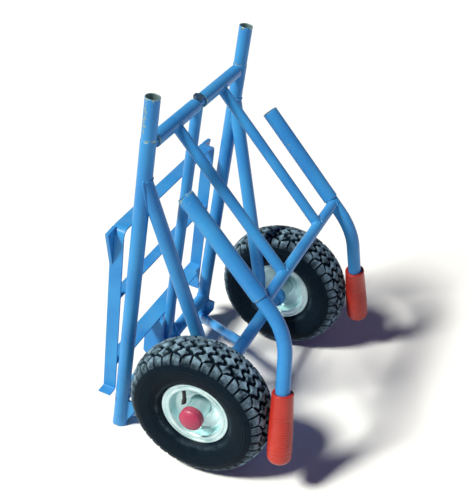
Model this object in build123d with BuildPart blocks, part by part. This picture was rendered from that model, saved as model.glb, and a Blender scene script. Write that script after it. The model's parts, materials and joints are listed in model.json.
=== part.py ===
from build123d import *
import os
from math import asin, atan, cos, degrees, pi, radians, sin, sqrt, tan

os.makedirs("parts", exist_ok=True)

# Folding hand truck, standing folded on its feet and wheels.
# Millimetres, +Z up, X across the truck, the toe frame towards -Y, the grips towards +Y.
# The left side is +X, as seen by someone standing behind the grips.

# Stance of the back frame
lean = 9.2                   # the uprights lean back, degrees from vertical
track = 178.0                # middle of the truck to the axis of an upright
upright_length = 689.0
upright_od = 26.0
upright_wall = 2.0
spigot_od = 24.6             # swaged top of the upright, entered by the locking sleeve
spigot_rise = 82.5           # hinge axis to the open top of the upright
lip_above_bar = 2.0          # plain tube left above the hinge bar before the swage
foot_height = 30.0           # squeezed length at the bottom of the upright
foot_across = 18.0           # squeezed thickness, across the truck
foot_along = 29.0            # squeezed width, front to back

# Hinge bar, centre rail and their bolt
bar_od = 17.5
bar_wall = 2.5
rail_od = 20.0
rail_wall = 2.0
plug_length = 32.0           # threaded plug in the top of the centre rail
bolt_d = 10.0
bolt_head_across_flats = 16.0
bolt_head_height = 6.4
bolt_reach = 26.0            # shank below the hinge bar's axis

# Toe hinge tube, foot braces and gussets
toe_hinge_along = 68.5       # up the uprights from the floor
toe_hinge_od = 25.4
toe_hinge_wall = 2.5
brace_od = 19.0
brace_wall = 2.0
brace_along = 15.0           # where a brace leaves the foot
brace_drop = 18.0            # the braces meet this far under the axis of the axle
gusset_thickness = 5.0
gusset_top = 66.0            # up the upright
gusset_bottom = 12.0
gusset_reach = 27.5          # behind the axis of the upright
gusset_edge = 22.0           # straight part of its rear edge
gusset_corner = 4.0

# Struts from the uprights down to the axle
strut_od = 25.0
strut_wall = 2.0
strut_drop = 60.5            # hinge axis down to where the strut meets the upright
strut_low_x = 124.0
strut_flat_width = 38.0
strut_flat_thickness = 7.0
strut_flat_half = 13.0       # flat length above and below the axle
strut_squeeze = 45.0         # length in which the round becomes flat

# Axle and wheels
wheel_r = 131.5
wheel_x = 203.0              # middle of the truck to the middle of a tyre
axle_y = 187.0               # behind the feet
shaft_od = 20.0
axle_tube_od = 25.0
collar_od = 40.0
collar_width = 15.0
collar_chamfer = 2.0
shaft_chamfer = 1.0
running_gap = 0.05           # radial clearance of a shaft in its bore
face_gap = 0.3               # side clearance of a turning face
tyre_width = 87.0
tyre_wall = 6.5
bead_open = 10.0             # half the gap between the beads, closed by the inner tube
shoulder_in = 5.0            # the shoulder is narrower than the sidewall
shoulder_drop = 15.0         # and lower than the crown
tread_depth = 5.0
tread_base = 5.0             # rubber under the grooves of the tread
tread_pitches = 20           # star blocks in one row round the tyre
tread_rows = 3               # rows of them on each half of the crown
row_step = 9.4               # between the rows, along the crown
star_along = 10.5            # middle of a star block to its tips, round the tyre
star_across = 7.6            # and across it
star_waist = 0.45            # its sides are drawn in to this share of the tips
star_root = 1.0              # depth of its root in the rubber under the grooves
rib_gap = 0.5                # tips of the outer stars to the shoulder ribs
slot_width = 4.0             # between two ribs
slot_run = 6.5               # the slots run out this far below the shoulder
buttress_drop = 10.0         # straight wall below the shoulder, behind the ribs
buttress_out = 4.1           # which widens by this
rim_flange_r = 63.0
rim_half_width = 29.0
rim_sheet = 2.0
bead_seat_r = 50.8           # four inch rim
dish_r = 40.0
clamp_r = 28.0               # the two rim halves lie back to back inside this radius
dish_depth = 22.0            # flange edge to the flat of the dish
hub_od = 38.0
hub_bore = 26.0
hub_inner = 41.0             # middle of the wheel to the inner end of the hub
hub_outer = 40.5             # middle of the wheel to the outer end of the hub
bearing_od = 32.0
bearing_width = 14.0
cap_od = 42.0
cap_skirt = 7.0              # overlap of the cap on the hub
cap_rise = 15.0              # end of the hub to the top of the dome
dome_height = 9.0            # of the cap's rise, the rounded part
cap_wall = 1.8
washer_od = 32.0
washer_thickness = 2.0
clip_od = 27.0
clip_thickness = 1.6
tube_wall = 2.0              # rubber of the inner tube
tube_gap = 0.2
valve_angle = 120.0          # turned from +Y towards +Z
valve_d = 8.0
valve_cap_d = 8.8
valve_cap_length = 9.0
valve_length = 27.0
valve_slant = 24.0           # the stem points in towards the axle and out, degrees

# Handle frame
hinge_sleeve_od = 24.5
hinge_sleeve_start = 12.0    # from the middle of the truck
hinge_sleeve_end = 158.0
arm_x = 88.0
arm_od = 19.0
arm_wall = 2.0
cross_bar_reach = 308.0      # hinge axis to the axis of the cross bar
cross_bar_od = 20.0
cross_bar_wall = 2.0
handle_od = 25.0
handle_wall = 2.0
handle_start = 112.0         # hinge axis to the upper end of the handle tube
handle_corner = 371.0        # hinge axis to the corner of the bend
handle_bend = 125.0
tail_out = 0.213             # the tail spreads outwards for each unit down
tail_back = 0.05             # and backwards
crown_relief = 0.6           # the folded grips rest beside the tyres' crowns, which have curved away by this
grip_start = 108.0           # corner of the bend to the top of the grip
grip_length = 131.0
grip_top_r = 18.5
grip_bottom_r = 21.5
grip_taper = 78.0            # length in which the grip widens
grip_round = 13.0
grip_end_wall = 5.0

# Locking sleeves
sleeve_od = 28.4
sleeve_start = 96.5          # hinge axis to the open end

# Toe frame
toe_lean = 7.5               # folded toe frame, degrees from vertical
strip_width = 24.6
strip_thickness = 3.0
strip_back = 12.6            # rear edge of the strip in front of the foot line
toe_bottom = 82.0            # up the toe frame from the floor
toe_top = 437.0
lip_out = 20.0
lip_bend = 4.0
corner_bend = 14.0
upper_slat = 294.0
upper_slat_width = 20.0
lower_slat = 145.0
lower_slat_back = 6.2        # rear edge, against the centre rail
lower_slat_taper = 155.0     # from the middle, where the ends narrow
lug_x = 25.0
lug_thickness = 6.0
lug_r = 21.0
lug_rear_turn = 30.0         # degrees above level where the lug's rear edge leaves its round
lug_back = 4.5               # rear edge above the round
lug_front = 33.6             # front edge, a little behind the front of the strips
lug_corner = 9.0             # cut off its lower front corner
wing_out = 20.0
wing_tall = 75.0
wing_thickness = 6.5

sides = {"left": 1, "right": -1}

# Directions of the folded pieces
up_dir = Vector(0, sin(radians(lean)), cos(radians(lean)))
rear_dir = Vector(0, cos(radians(lean)), -sin(radians(lean)))

# The folded handle hangs back, in degrees from straight down, until its grips rest on the tyres: at the
# height of the axle the tail's axis then lies a grip's radius behind them.
hinge_along = upright_length - spigot_rise
tail_reach = axle_y + wheel_r + grip_bottom_r - crown_relief - up_dir.Y * hinge_along
tail_gain = tail_back * (up_dir.Z * hinge_along - wheel_r)
fold = degrees(asin((tail_reach - tail_gain) / (handle_corner * sqrt(1 + tail_back**2))) + atan(tail_back))

arm_dir = Vector(0, sin(radians(fold)), -cos(radians(fold)))
toe_up = Vector(0, sin(radians(toe_lean)), cos(radians(toe_lean)))
toe_rear = Vector(0, cos(radians(toe_lean)), -sin(radians(toe_lean)))
across = Vector(1, 0, 0)
tail_unit = Vector(0, tail_back, -1) * (1 / sqrt(1 + tail_back**2 + tail_out**2))

# The origin is on the floor, halfway between the foremost lip and the rearmost grip.
strip_front = strip_back + strip_width
front_y = (toe_up * toe_bottom - toe_rear * strip_front).Y
grip_end = grip_start + grip_length
grip_corner_y = (up_dir * hinge_along + arm_dir * handle_corner).Y
grip_rise = tail_unit.Y * (grip_end - grip_round)
rear_y = grip_corner_y + grip_rise + (grip_bottom_r - grip_round) * sqrt(1 - tail_unit.Y**2) + grip_round
foot_line = Vector(0, -(front_y + rear_y) / 2, 0)


# A point of the back frame: across, up the lean, and behind the uprights' plane.
def on_back(x, along, rear=0.0):
    return foot_line + across * x + up_dir * along + rear_dir * rear


# A point of the folded handle: across, and down from the hinge axis.
def on_handle(x, reach):
    return on_back(x, hinge_along) + arm_dir * reach


# A point of the toe frame: across, behind the foot line, and up the toe frame.
def on_toe(x, rear, high):
    return foot_line + across * x + toe_rear * rear + toe_up * high


# A plane square to a run, with its X axis across the truck where that is possible.
def square_to(point, direction):
    run = direction.normalized()
    level = across if abs(run.X) < 0.9 else Vector(0, 1, 0)
    return Plane(origin=point, x_dir=level - run * level.dot(run), z_dir=run)


# A round bar or, with a bore, a tube from start to end, in the part that is being built.
def round_run(start, end, outer_r, bore_r=0.0, mode=Mode.ADD):
    with BuildSketch(square_to(start, end - start)) as ring:
        Circle(outer_r)
        if bore_r:
            Circle(bore_r, mode=Mode.SUBTRACT)
    extrude(ring.sketch, amount=(end - start).length, mode=mode)


def keep(piece, name):
    piece.part.label = name
    export_step(piece.part, f"parts/{name}.step")


upright_r = upright_od / 2
bar_r = bar_od / 2
toe_hinge_r = toe_hinge_od / 2
axle_tube_r = axle_tube_od / 2
shaft_r = shaft_od / 2
lip_along = hinge_along + bar_r + lip_above_bar
strut_top_along = hinge_along - strut_drop
hinge_point = on_back(0, hinge_along)
toe_hinge_point = on_back(0, toe_hinge_along)
axle_point = foot_line + Vector(0, axle_y, wheel_r)


# The squeezed foot of an upright, drawn from the round tube down past the floor.
def squeezed_foot(hand, mode=Mode.ADD):
    below = -foot_along * tan(radians(lean))
    with BuildSketch(square_to(on_back(hand * track, foot_height), up_dir)) as ankle:
        Circle(upright_r)
    with BuildSketch(square_to(on_back(hand * track, below), up_dir)) as sole:
        Ellipse(foot_across / 2, foot_along / 2)
    loft([ankle.sketch, sole.sketch], mode=mode)


# The outside of an upright below its swage, cut away from the pieces welded to it.
def cope_to_upright(hand):
    foot_end = on_back(hand * track, foot_height)
    round_run(foot_end, on_back(hand * track, lip_along), upright_r, mode=Mode.SUBTRACT)


# Uprights
for side, hand in sides.items():
    foot_end = on_back(hand * track, foot_height)
    lip = on_back(hand * track, lip_along)
    top = on_back(hand * track, upright_length)
    with BuildPart() as upright:
        round_run(foot_end, lip, upright_r, upright_r - upright_wall)
        round_run(lip, top, spigot_od / 2, spigot_od / 2 - upright_wall)
        squeezed_foot(hand)
        split(bisect_by=Plane.XY, keep=Keep.TOP)
    keep(upright, f"{side}_upright")

# Hinge bar, drilled for the bolt that holds the centre rail
with BuildPart() as hinge_bar:
    bar_end = across * track
    round_run(hinge_point - bar_end, hinge_point + bar_end, bar_r, bar_r - bar_wall)
    for hand in sides.values():
        cope_to_upright(hand)
    round_run(hinge_point - up_dir * bar_od, hinge_point + up_dir * bar_od, bolt_d / 2, mode=Mode.SUBTRACT)
keep(hinge_bar, "hinge_bar")

with BuildPart() as centre_rail:
    round_run(toe_hinge_point, hinge_point, rail_od / 2, rail_od / 2 - rail_wall)
    rail_cut = across * rail_od
    round_run(hinge_point - rail_cut, hinge_point + rail_cut, bar_r, mode=Mode.SUBTRACT)
    round_run(toe_hinge_point - rail_cut, toe_hinge_point + rail_cut, toe_hinge_r, mode=Mode.SUBTRACT)
keep(centre_rail, "centre_rail")

with BuildPart() as rail_plug:
    plug_foot = hinge_point - up_dir * (bar_r + plug_length)
    round_run(plug_foot, hinge_point, rail_od / 2 - rail_wall)
    round_run(hinge_point - across * rail_od, hinge_point + across * rail_od, bar_r, mode=Mode.SUBTRACT)
    round_run(plug_foot, hinge_point, bolt_d / 2, mode=Mode.SUBTRACT)
keep(rail_plug, "rail_plug")

with BuildPart() as centre_bolt:
    round_run(hinge_point - up_dir * bolt_reach, hinge_point + up_dir * bar_r, bolt_d / 2)
    with BuildSketch(square_to(hinge_point + up_dir * bar_r, up_dir)):
        RegularPolygon(bolt_head_across_flats / 2, 6, major_radius=False)
    extrude(amount=bolt_head_height)
keep(centre_bolt, "centre_bolt")

with BuildPart() as toe_hinge_tube:
    tube_half = across * track
    tube_bore = toe_hinge_r - toe_hinge_wall
    round_run(toe_hinge_point - tube_half, toe_hinge_point + tube_half, toe_hinge_r, tube_bore)
    for hand in sides.values():
        cope_to_upright(hand)
keep(toe_hinge_tube, "toe_hinge_tube")

# Axle: a tube between two collars, with the shaft through them and both wheels
hub_face = wheel_x - hub_inner
collar_outer = hub_face - face_gap
collar_inner = collar_outer - collar_width
shaft_end = wheel_x + hub_outer + face_gap + washer_thickness + clip_thickness + shaft_chamfer

with BuildPart() as axle_tube:
    round_run(axle_point - across * collar_inner, axle_point + across * collar_inner, axle_tube_r, shaft_r)
keep(axle_tube, "axle_tube")

with BuildPart() as axle_shaft:
    round_run(axle_point - across * shaft_end, axle_point + across * shaft_end, shaft_r)
    chamfer(axle_shaft.edges().filter_by(GeomType.CIRCLE), length=shaft_chamfer)
keep(axle_shaft, "axle_shaft")

for side, hand in sides.items():
    collar_start = axle_point + across * hand * collar_inner
    collar_end = axle_point + across * hand * collar_outer
    with BuildPart() as axle_collar:
        round_run(collar_start, collar_end, collar_od / 2)
        chamfer(axle_collar.edges().filter_by(GeomType.CIRCLE), length=collar_chamfer)
        round_run(collar_start, collar_end, shaft_r, mode=Mode.SUBTRACT)
    keep(axle_collar, f"{side}_axle_collar")

# Struts: round at the upright, squeezed flat where they lie on the front of the axle tube
for side, hand in sides.items():
    strut_top = on_back(hand * track, strut_top_along)
    low_axle = axle_point + across * hand * strut_low_x
    fall = (low_axle - strut_top).normalized()
    flat_front = Vector(0, fall.Z, -fall.Y).normalized() * (axle_tube_r + strut_flat_thickness / 2)
    strut_dir = (low_axle + flat_front - strut_top).normalized()
    flat_end = low_axle + flat_front + strut_dir * strut_flat_half
    flat_start = low_axle + flat_front - strut_dir * strut_flat_half
    round_end = flat_start - strut_dir * strut_squeeze
    with BuildPart() as strut:
        round_run(strut_top, round_end, strut_od / 2, strut_od / 2 - strut_wall)
        with BuildSketch(square_to(round_end, strut_dir)):
            Circle(strut_od / 2)
        with BuildSketch(square_to(flat_start, strut_dir)):
            Ellipse(strut_flat_width / 2, strut_flat_thickness / 2)
        loft()
        with BuildSketch(square_to(flat_start, strut_dir)):
            Ellipse(strut_flat_width / 2, strut_flat_thickness / 2)
        extrude(amount=2 * strut_flat_half)
        cope_to_upright(hand)
        round_run(
            low_axle - across * strut_flat_width,
            low_axle + across * strut_flat_width,
            axle_tube_r,
            mode=Mode.SUBTRACT,
        )
    keep(strut, f"{side}_strut")

# Braces from the feet to the underside of the axle tube, where they meet each other in the middle
for side, hand in sides.items():
    brace_foot = on_back(hand * track, brace_along)
    brace_meet = axle_point - Vector(0, 0, brace_drop)
    brace_end = brace_meet + (brace_meet - brace_foot).normalized() * brace_od
    with BuildPart() as brace:
        round_run(brace_foot, brace_end, brace_od / 2, brace_od / 2 - brace_wall)
        cope_to_upright(hand)
        squeezed_foot(hand, mode=Mode.SUBTRACT)
        round_run(
            axle_point - across * strut_low_x,
            axle_point + across * strut_low_x,
            axle_tube_r,
            mode=Mode.SUBTRACT,
        )
        split(bisect_by=Plane.YZ, keep=Keep.TOP if hand > 0 else Keep.BOTTOM)
    keep(brace, f"{side}_foot_brace")

    # Gusset plate behind the foot
    gusset_plane = Plane(origin=on_back(hand * track - gusset_thickness / 2, 0), x_dir=rear_dir, z_dir=across)
    with BuildPart() as gusset:
        with BuildSketch(gusset_plane) as outline:
            with BuildLine():
                Polyline(
                    (0, gusset_bottom),
                    (0, gusset_top),
                    (gusset_reach, gusset_top),
                    (gusset_reach, gusset_top - gusset_edge),
                    (upright_r, gusset_bottom),
                    close=True,
                )
            make_face()
            fillet(outline.vertices().sort_by(Axis.X)[-2:], radius=gusset_corner)
        extrude(amount=gusset_thickness)
        cope_to_upright(hand)
        squeezed_foot(hand, mode=Mode.SUBTRACT)
        round_run(brace_foot, brace_end, brace_od / 2, mode=Mode.SUBTRACT)
    keep(gusset, f"{side}_foot_gusset")

seat_edge = rim_half_width - rim_sheet
half_tyre = tyre_width / 2
shoulder_x = half_tyre - shoulder_in
shoulder_r = wheel_r - shoulder_drop
bulge_r = (rim_flange_r + shoulder_r) / 2
cavity_r = (wheel_r - tread_depth - tread_base - bead_seat_r) / 2
cavity_middle = bead_seat_r + cavity_r
cavity_half = half_tyre - 2 * tyre_wall
crown_r = (shoulder_x**2 + shoulder_drop**2) / (2 * shoulder_drop)
shoulder_along = crown_r * asin(shoulder_x / crown_r)
rib_start = (tread_rows - 0.5) * row_step + star_across + rib_gap


# A point of a tyre's section: along the crown's arc from its middle, and below it.
def on_crown(along, depth=0.0):
    turn = along / crown_r
    return (crown_r - depth) * sin(turn), wheel_r - crown_r + (crown_r - depth) * cos(turn)


# The tread's two patterns: flat-topped star blocks, whose tips end on the crown, and slots over the shoulders
star_sag = max(star_across**2 / crown_r, star_along**2 / wheel_r) / 2
star_rise = star_root + tread_depth - star_sag
star_side = (star_waist * star_along, star_waist * star_across)
star_outline = (
    (star_along, 0), star_side, (0, star_across), (-star_side[0], star_side[1]),
    (-star_along, 0), (-star_side[0], -star_side[1]), (0, -star_across), (star_side[0], -star_side[1]),
)
groove_edge = on_crown(rib_start, tread_depth)
slot_outline = (
    groove_edge, (half_tyre, shoulder_r - slot_run), (half_tyre, wheel_r), (groove_edge[0], wheel_r),
)

# Wheels
for side, hand in sides.items():
    outboard = across * hand
    wheel_middle = axle_point + outboard * wheel_x
    wheel_axis = Axis(wheel_middle, outboard)
    section = Plane(origin=wheel_middle, x_dir=outboard, z_dir=Vector(0, -hand, 0))

    star_planes = []
    for row in range(2 * tread_rows):
        row_along = (row - tread_rows + 0.5) * row_step
        root_x, root_r = on_crown(row_along, tread_depth + star_root)
        row_turn = row_along / crown_r
        for pitch in range(tread_pitches):
            turn = 2 * pi * (pitch + row % 2 / 2) / tread_pitches
            radial = Vector(0, cos(turn), sin(turn))
            star_planes.append(Plane(
                origin=wheel_middle + outboard * root_x + radial * root_r,
                x_dir=Vector(0, -sin(turn), cos(turn)),
                z_dir=radial * cos(row_turn) + outboard * sin(row_turn),
            ))
    slot_planes = []
    for slot in range(2 * tread_pitches):
        turn = pi * slot / tread_pitches
        radial = Vector(0, cos(turn), sin(turn))
        slot_planes.append(Plane(origin=wheel_middle, x_dir=outboard, z_dir=outboard.cross(radial)))

    with BuildPart() as tyre:
        with BuildSketch(section):
            with BuildLine():
                Line((-seat_edge, bead_seat_r), (seat_edge, bead_seat_r))
                for flank in (1, -1):
                    flange_edge = (flank * seat_edge, rim_flange_r)
                    buttress = (flank * (shoulder_x + buttress_out), shoulder_r - buttress_drop)
                    rib_top = [on_crown(flank * along) for along in (shoulder_along, rib_start)]
                    groove = [on_crown(flank * along, tread_depth) for along in (rib_start, row_step)]
                    Line((flank * seat_edge, bead_seat_r), flange_edge)
                    ThreePointArc(flange_edge, (flank * half_tyre, bulge_r), buttress)
                    Polyline(buttress, *rib_top, *groove)
                Line(on_crown(row_step, tread_depth), on_crown(-row_step, tread_depth))
            make_face()
            with Locations((0, cavity_middle)):
                Ellipse(cavity_half, cavity_r, mode=Mode.SUBTRACT)
            with Locations((0, bead_seat_r)):
                Rectangle(2 * bead_open, 2 * cavity_r, mode=Mode.SUBTRACT)
        revolve(axis=wheel_axis)
        with BuildSketch(*slot_planes):
            for flank in (1, -1):
                with BuildLine():
                    Polyline(*[(flank * x, r) for x, r in slot_outline], close=True)
                make_face()
        extrude(amount=slot_width / 2, both=True, mode=Mode.SUBTRACT)
        with BuildSketch(*star_planes):
            with BuildLine():
                Polyline(*star_outline, close=True)
            make_face()
        extrude(amount=star_rise)
    keep(tyre, f"{side}_tyre")

    with BuildPart() as inner_tube:
        with BuildSketch(section):
            with Locations((0, cavity_middle)):
                Ellipse(cavity_half - tube_gap, cavity_r - tube_gap)
                tube_inside = tube_gap + tube_wall
                Ellipse(cavity_half - tube_inside, cavity_r - tube_inside, mode=Mode.SUBTRACT)
        revolve(axis=wheel_axis)
    keep(inner_tube, f"{side}_inner_tube")

    # Pressed rim halves, back to back on the middle plane of the wheel
    for half, out in (("outer", 1), ("inner", -1)):
        dish_x = rim_half_width - dish_depth
        hub_r = hub_od / 2
        with BuildPart() as rim_half:
            with BuildSketch(section):
                with BuildLine():
                    Polyline(
                        (0, hub_r),
                        (0, clamp_r),
                        (out * (dish_x - rim_sheet), dish_r),
                        (out * dish_x, bead_seat_r),
                        (out * seat_edge, bead_seat_r),
                        (out * seat_edge, rim_flange_r),
                        (out * rim_half_width, rim_flange_r),
                        (out * rim_half_width, bead_seat_r - rim_sheet),
                        (out * (dish_x + rim_sheet), bead_seat_r - rim_sheet),
                        (out * dish_x, dish_r - rim_sheet),
                        (out * rim_sheet, clamp_r - rim_sheet),
                        (out * rim_sheet, hub_r),
                        close=True,
                    )
                make_face()
            revolve(axis=wheel_axis)
        keep(rim_half, f"{side}_rim_{half}")

    with BuildPart() as hub:
        hub_start = wheel_middle - outboard * hub_inner
        hub_stop = wheel_middle + outboard * hub_outer
        round_run(hub_start, hub_stop, hub_od / 2, hub_bore / 2)
        for end in (outboard * -hub_inner, outboard * (hub_outer - bearing_width)):
            round_run(
                wheel_middle + end,
                wheel_middle + end + outboard * bearing_width,
                bearing_od / 2,
                mode=Mode.SUBTRACT,
            )
    keep(hub, f"{side}_hub")

    with BuildPart() as bearings:
        for end in (outboard * -hub_inner, outboard * (hub_outer - bearing_width)):
            round_run(
                wheel_middle + end,
                wheel_middle + end + outboard * bearing_width,
                bearing_od / 2,
                shaft_r + running_gap,
            )
    keep(bearings, f"{side}_wheel_bearings")

    hub_end = wheel_middle + outboard * hub_outer
    washer_start = hub_end + outboard * face_gap
    clip_start = washer_start + outboard * washer_thickness
    with BuildPart() as washer:
        round_run(washer_start, clip_start, washer_od / 2, shaft_r)
    keep(washer, f"{side}_axle_washer")

    with BuildPart() as clip:
        round_run(clip_start, clip_start + outboard * clip_thickness, clip_od / 2, shaft_r)
    keep(clip, f"{side}_axle_clip")

    # The cap is a short skirt pressed on the hub, with a dome that is part of a sphere
    skirt_x = hub_outer - cap_skirt
    brow_x = hub_outer + cap_rise - dome_height
    cap_r = cap_od / 2
    hub_r = hub_od / 2
    dome_r = (cap_r**2 + dome_height**2) / (2 * dome_height)
    dome_x = hub_outer + cap_rise - dome_r
    inside_r = dome_r - cap_wall
    half_turn = asin(cap_r / dome_r) / 2
    inside_turn = asin(hub_r / inside_r) / 2
    with BuildPart() as hub_cap:
        with BuildSketch(section):
            with BuildLine():
                Polyline(
                    (dome_x + inside_r * cos(2 * inside_turn), hub_r),
                    (skirt_x, hub_r),
                    (skirt_x, cap_r),
                    (brow_x, cap_r),
                )
                ThreePointArc(
                    (brow_x, cap_r),
                    (dome_x + dome_r * cos(half_turn), dome_r * sin(half_turn)),
                    (dome_x + dome_r, 0),
                )
                Line((dome_x + dome_r, 0), (dome_x + inside_r, 0))
                ThreePointArc(
                    (dome_x + inside_r, 0),
                    (dome_x + inside_r * cos(inside_turn), inside_r * sin(inside_turn)),
                    (dome_x + inside_r * cos(2 * inside_turn), hub_r),
                )
            make_face()
        revolve(axis=wheel_axis)
    keep(hub_cap, f"{side}_hub_cap")

    # Rubber valve stem, through the outer rim half and slanting in towards the cap
    turn = radians(valve_angle)
    radial = Vector(0, cos(turn), sin(turn))
    valve_root = wheel_middle + outboard * (seat_edge - valve_d) + radial * (bead_seat_r - rim_sheet)
    slant = radians(valve_slant)
    valve_dir = outboard * sin(slant) - radial * cos(slant)
    valve_tip = valve_root + valve_dir * valve_length
    cap_start = valve_tip - valve_dir * valve_cap_length
    with BuildPart() as valve_stem:
        round_run(valve_root, valve_tip, valve_d / 2)
        round_run(cap_start, valve_tip, valve_cap_d / 2)
        with BuildSketch(section):
            with Locations((0, bead_seat_r - rim_sheet + valve_d / 2)):
                Rectangle(4 * rim_half_width, valve_d)
        revolve(axis=wheel_axis, mode=Mode.SUBTRACT)
    keep(valve_stem, f"{side}_valve_stem")

# Handle frame: hinge sleeves turn on the hinge bar and carry the arms
hinge_sleeve_r = hinge_sleeve_od / 2
cross_bar_r = cross_bar_od / 2
cross_bar_point = on_handle(0, cross_bar_reach)
for side, hand in sides.items():
    with BuildPart() as hinge_sleeve:
        round_run(
            hinge_point + across * hand * hinge_sleeve_start,
            hinge_point + across * hand * hinge_sleeve_end,
            hinge_sleeve_r,
            bar_r + running_gap,
        )
    keep(hinge_sleeve, f"{side}_hinge_sleeve")

    with BuildPart() as arm:
        arm_top = on_handle(hand * arm_x, 0)
        arm_foot = on_handle(hand * arm_x, cross_bar_reach)
        round_run(arm_top, arm_foot, arm_od / 2, arm_od / 2 - arm_wall)
        for middle, radius in ((arm_top, hinge_sleeve_r), (arm_foot, cross_bar_r)):
            round_run(middle - across * arm_od, middle + across * arm_od, radius, mode=Mode.SUBTRACT)
    keep(arm, f"{side}_arm")

with BuildPart() as cross_bar:
    bar_half = across * track
    bar_bore = cross_bar_r - cross_bar_wall
    round_run(cross_bar_point - bar_half, cross_bar_point + bar_half, cross_bar_r, bar_bore)
    for hand in sides.values():
        round_run(
            on_handle(hand * track, handle_start),
            on_handle(hand * track, handle_corner),
            handle_od / 2,
            mode=Mode.SUBTRACT,
        )
keep(cross_bar, "cross_bar")

for side, hand in sides.items():
    tail = tail_unit + across * hand * tail_out * abs(tail_unit.Z)
    corner = on_handle(hand * track, handle_corner)
    grip_top = corner + tail * grip_start
    tube_end = corner + tail * (grip_end - grip_end_wall)

    with BuildPart() as handle_tube:
        with BuildLine() as tube_path:
            FilletPolyline(on_handle(hand * track, handle_start), corner, tube_end, radius=handle_bend)
        with BuildSketch(square_to(on_handle(hand * track, handle_start), arm_dir)):
            Circle(handle_od / 2)
            Circle(handle_od / 2 - handle_wall, mode=Mode.SUBTRACT)
        sweep(path=tube_path.wire())
    keep(handle_tube, f"{side}_handle_tube")

    with BuildPart() as grip:
        with BuildSketch(Plane(origin=grip_top, x_dir=tail, z_dir=tail.cross(Vector(0, 1, 0)))):
            with BuildLine():
                Polyline(
                    (grip_length - grip_round, grip_bottom_r),
                    (grip_taper, grip_bottom_r),
                    (0, grip_top_r),
                    (0, handle_od / 2),
                    (grip_length - grip_end_wall, handle_od / 2),
                    (grip_length - grip_end_wall, 0),
                    (grip_length, 0),
                    (grip_length, grip_bottom_r - grip_round),
                )
                RadiusArc(
                    (grip_length, grip_bottom_r - grip_round),
                    (grip_length - grip_round, grip_bottom_r),
                    -grip_round,
                )
            make_face()
        revolve(axis=Axis(grip_top, tail))
    keep(grip, f"{side}_grip")

    # Locking sleeve, resting on the cross bar and sliding up over the spigot when the handle is raised
    sleeve_stop = cross_bar_reach - cross_bar_r - face_gap
    with BuildPart() as locking_sleeve:
        round_run(
            on_handle(hand * track, sleeve_start),
            on_handle(hand * track, sleeve_stop),
            sleeve_od / 2,
            handle_od / 2 + running_gap,
        )
    keep(locking_sleeve, f"{side}_locking_sleeve")

# Toe frame: one flat strip on edge, bent into a U with its ends turned out as lips
toe_side = track + strip_thickness / 2
strip_middle = -(strip_back + strip_front) / 2
lip_level = toe_bottom + strip_thickness / 2
top_level = toe_top - strip_thickness / 2
with BuildPart() as toe_frame:
    with BuildLine() as strip_path:
        FilletPolyline(
            on_toe(-toe_side - lip_out, strip_middle, lip_level),
            on_toe(-toe_side, strip_middle, lip_level),
            on_toe(-toe_side, strip_middle, top_level),
            on_toe(toe_side, strip_middle, top_level),
            on_toe(toe_side, strip_middle, lip_level),
            on_toe(toe_side + lip_out, strip_middle, lip_level),
            radius=[lip_bend, corner_bend, corner_bend, lip_bend],
        )
    with BuildSketch(Plane(origin=strip_path.line @ 0, x_dir=toe_rear, z_dir=across)):
        Rectangle(strip_width, strip_thickness)
    sweep(path=strip_path.wire())
keep(toe_frame, "toe_frame")

slat_end = toe_side - strip_thickness / 2


# A flat slat of the toe frame at a height, with its outline given across and behind the foot line.
def slat_plane(level):
    return Plane(origin=on_toe(0, 0, level - strip_thickness / 2), x_dir=across, z_dir=toe_up)


with BuildPart() as upper_toe_slat:
    with BuildSketch(slat_plane(upper_slat)):
        with Locations((0, strip_middle)):
            Rectangle(2 * slat_end, upper_slat_width)
    extrude(amount=strip_thickness)
keep(upper_toe_slat, "upper_toe_slat")

with BuildPart() as lower_toe_slat:
    with BuildSketch(slat_plane(lower_slat)):
        with BuildLine():
            Polyline(
                (slat_end, -strip_front),
                (slat_end, -strip_back),
                (lower_slat_taper, -strip_back),
                (lower_slat_taper - strip_back + lower_slat_back, -lower_slat_back),
                (-lower_slat_taper + strip_back - lower_slat_back, -lower_slat_back),
                (-lower_slat_taper, -strip_back),
                (-slat_end, -strip_back),
                (-slat_end, -strip_front),
                close=True,
            )
        make_face()
    extrude(amount=strip_thickness)
keep(lower_toe_slat, "lower_toe_slat")

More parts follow.
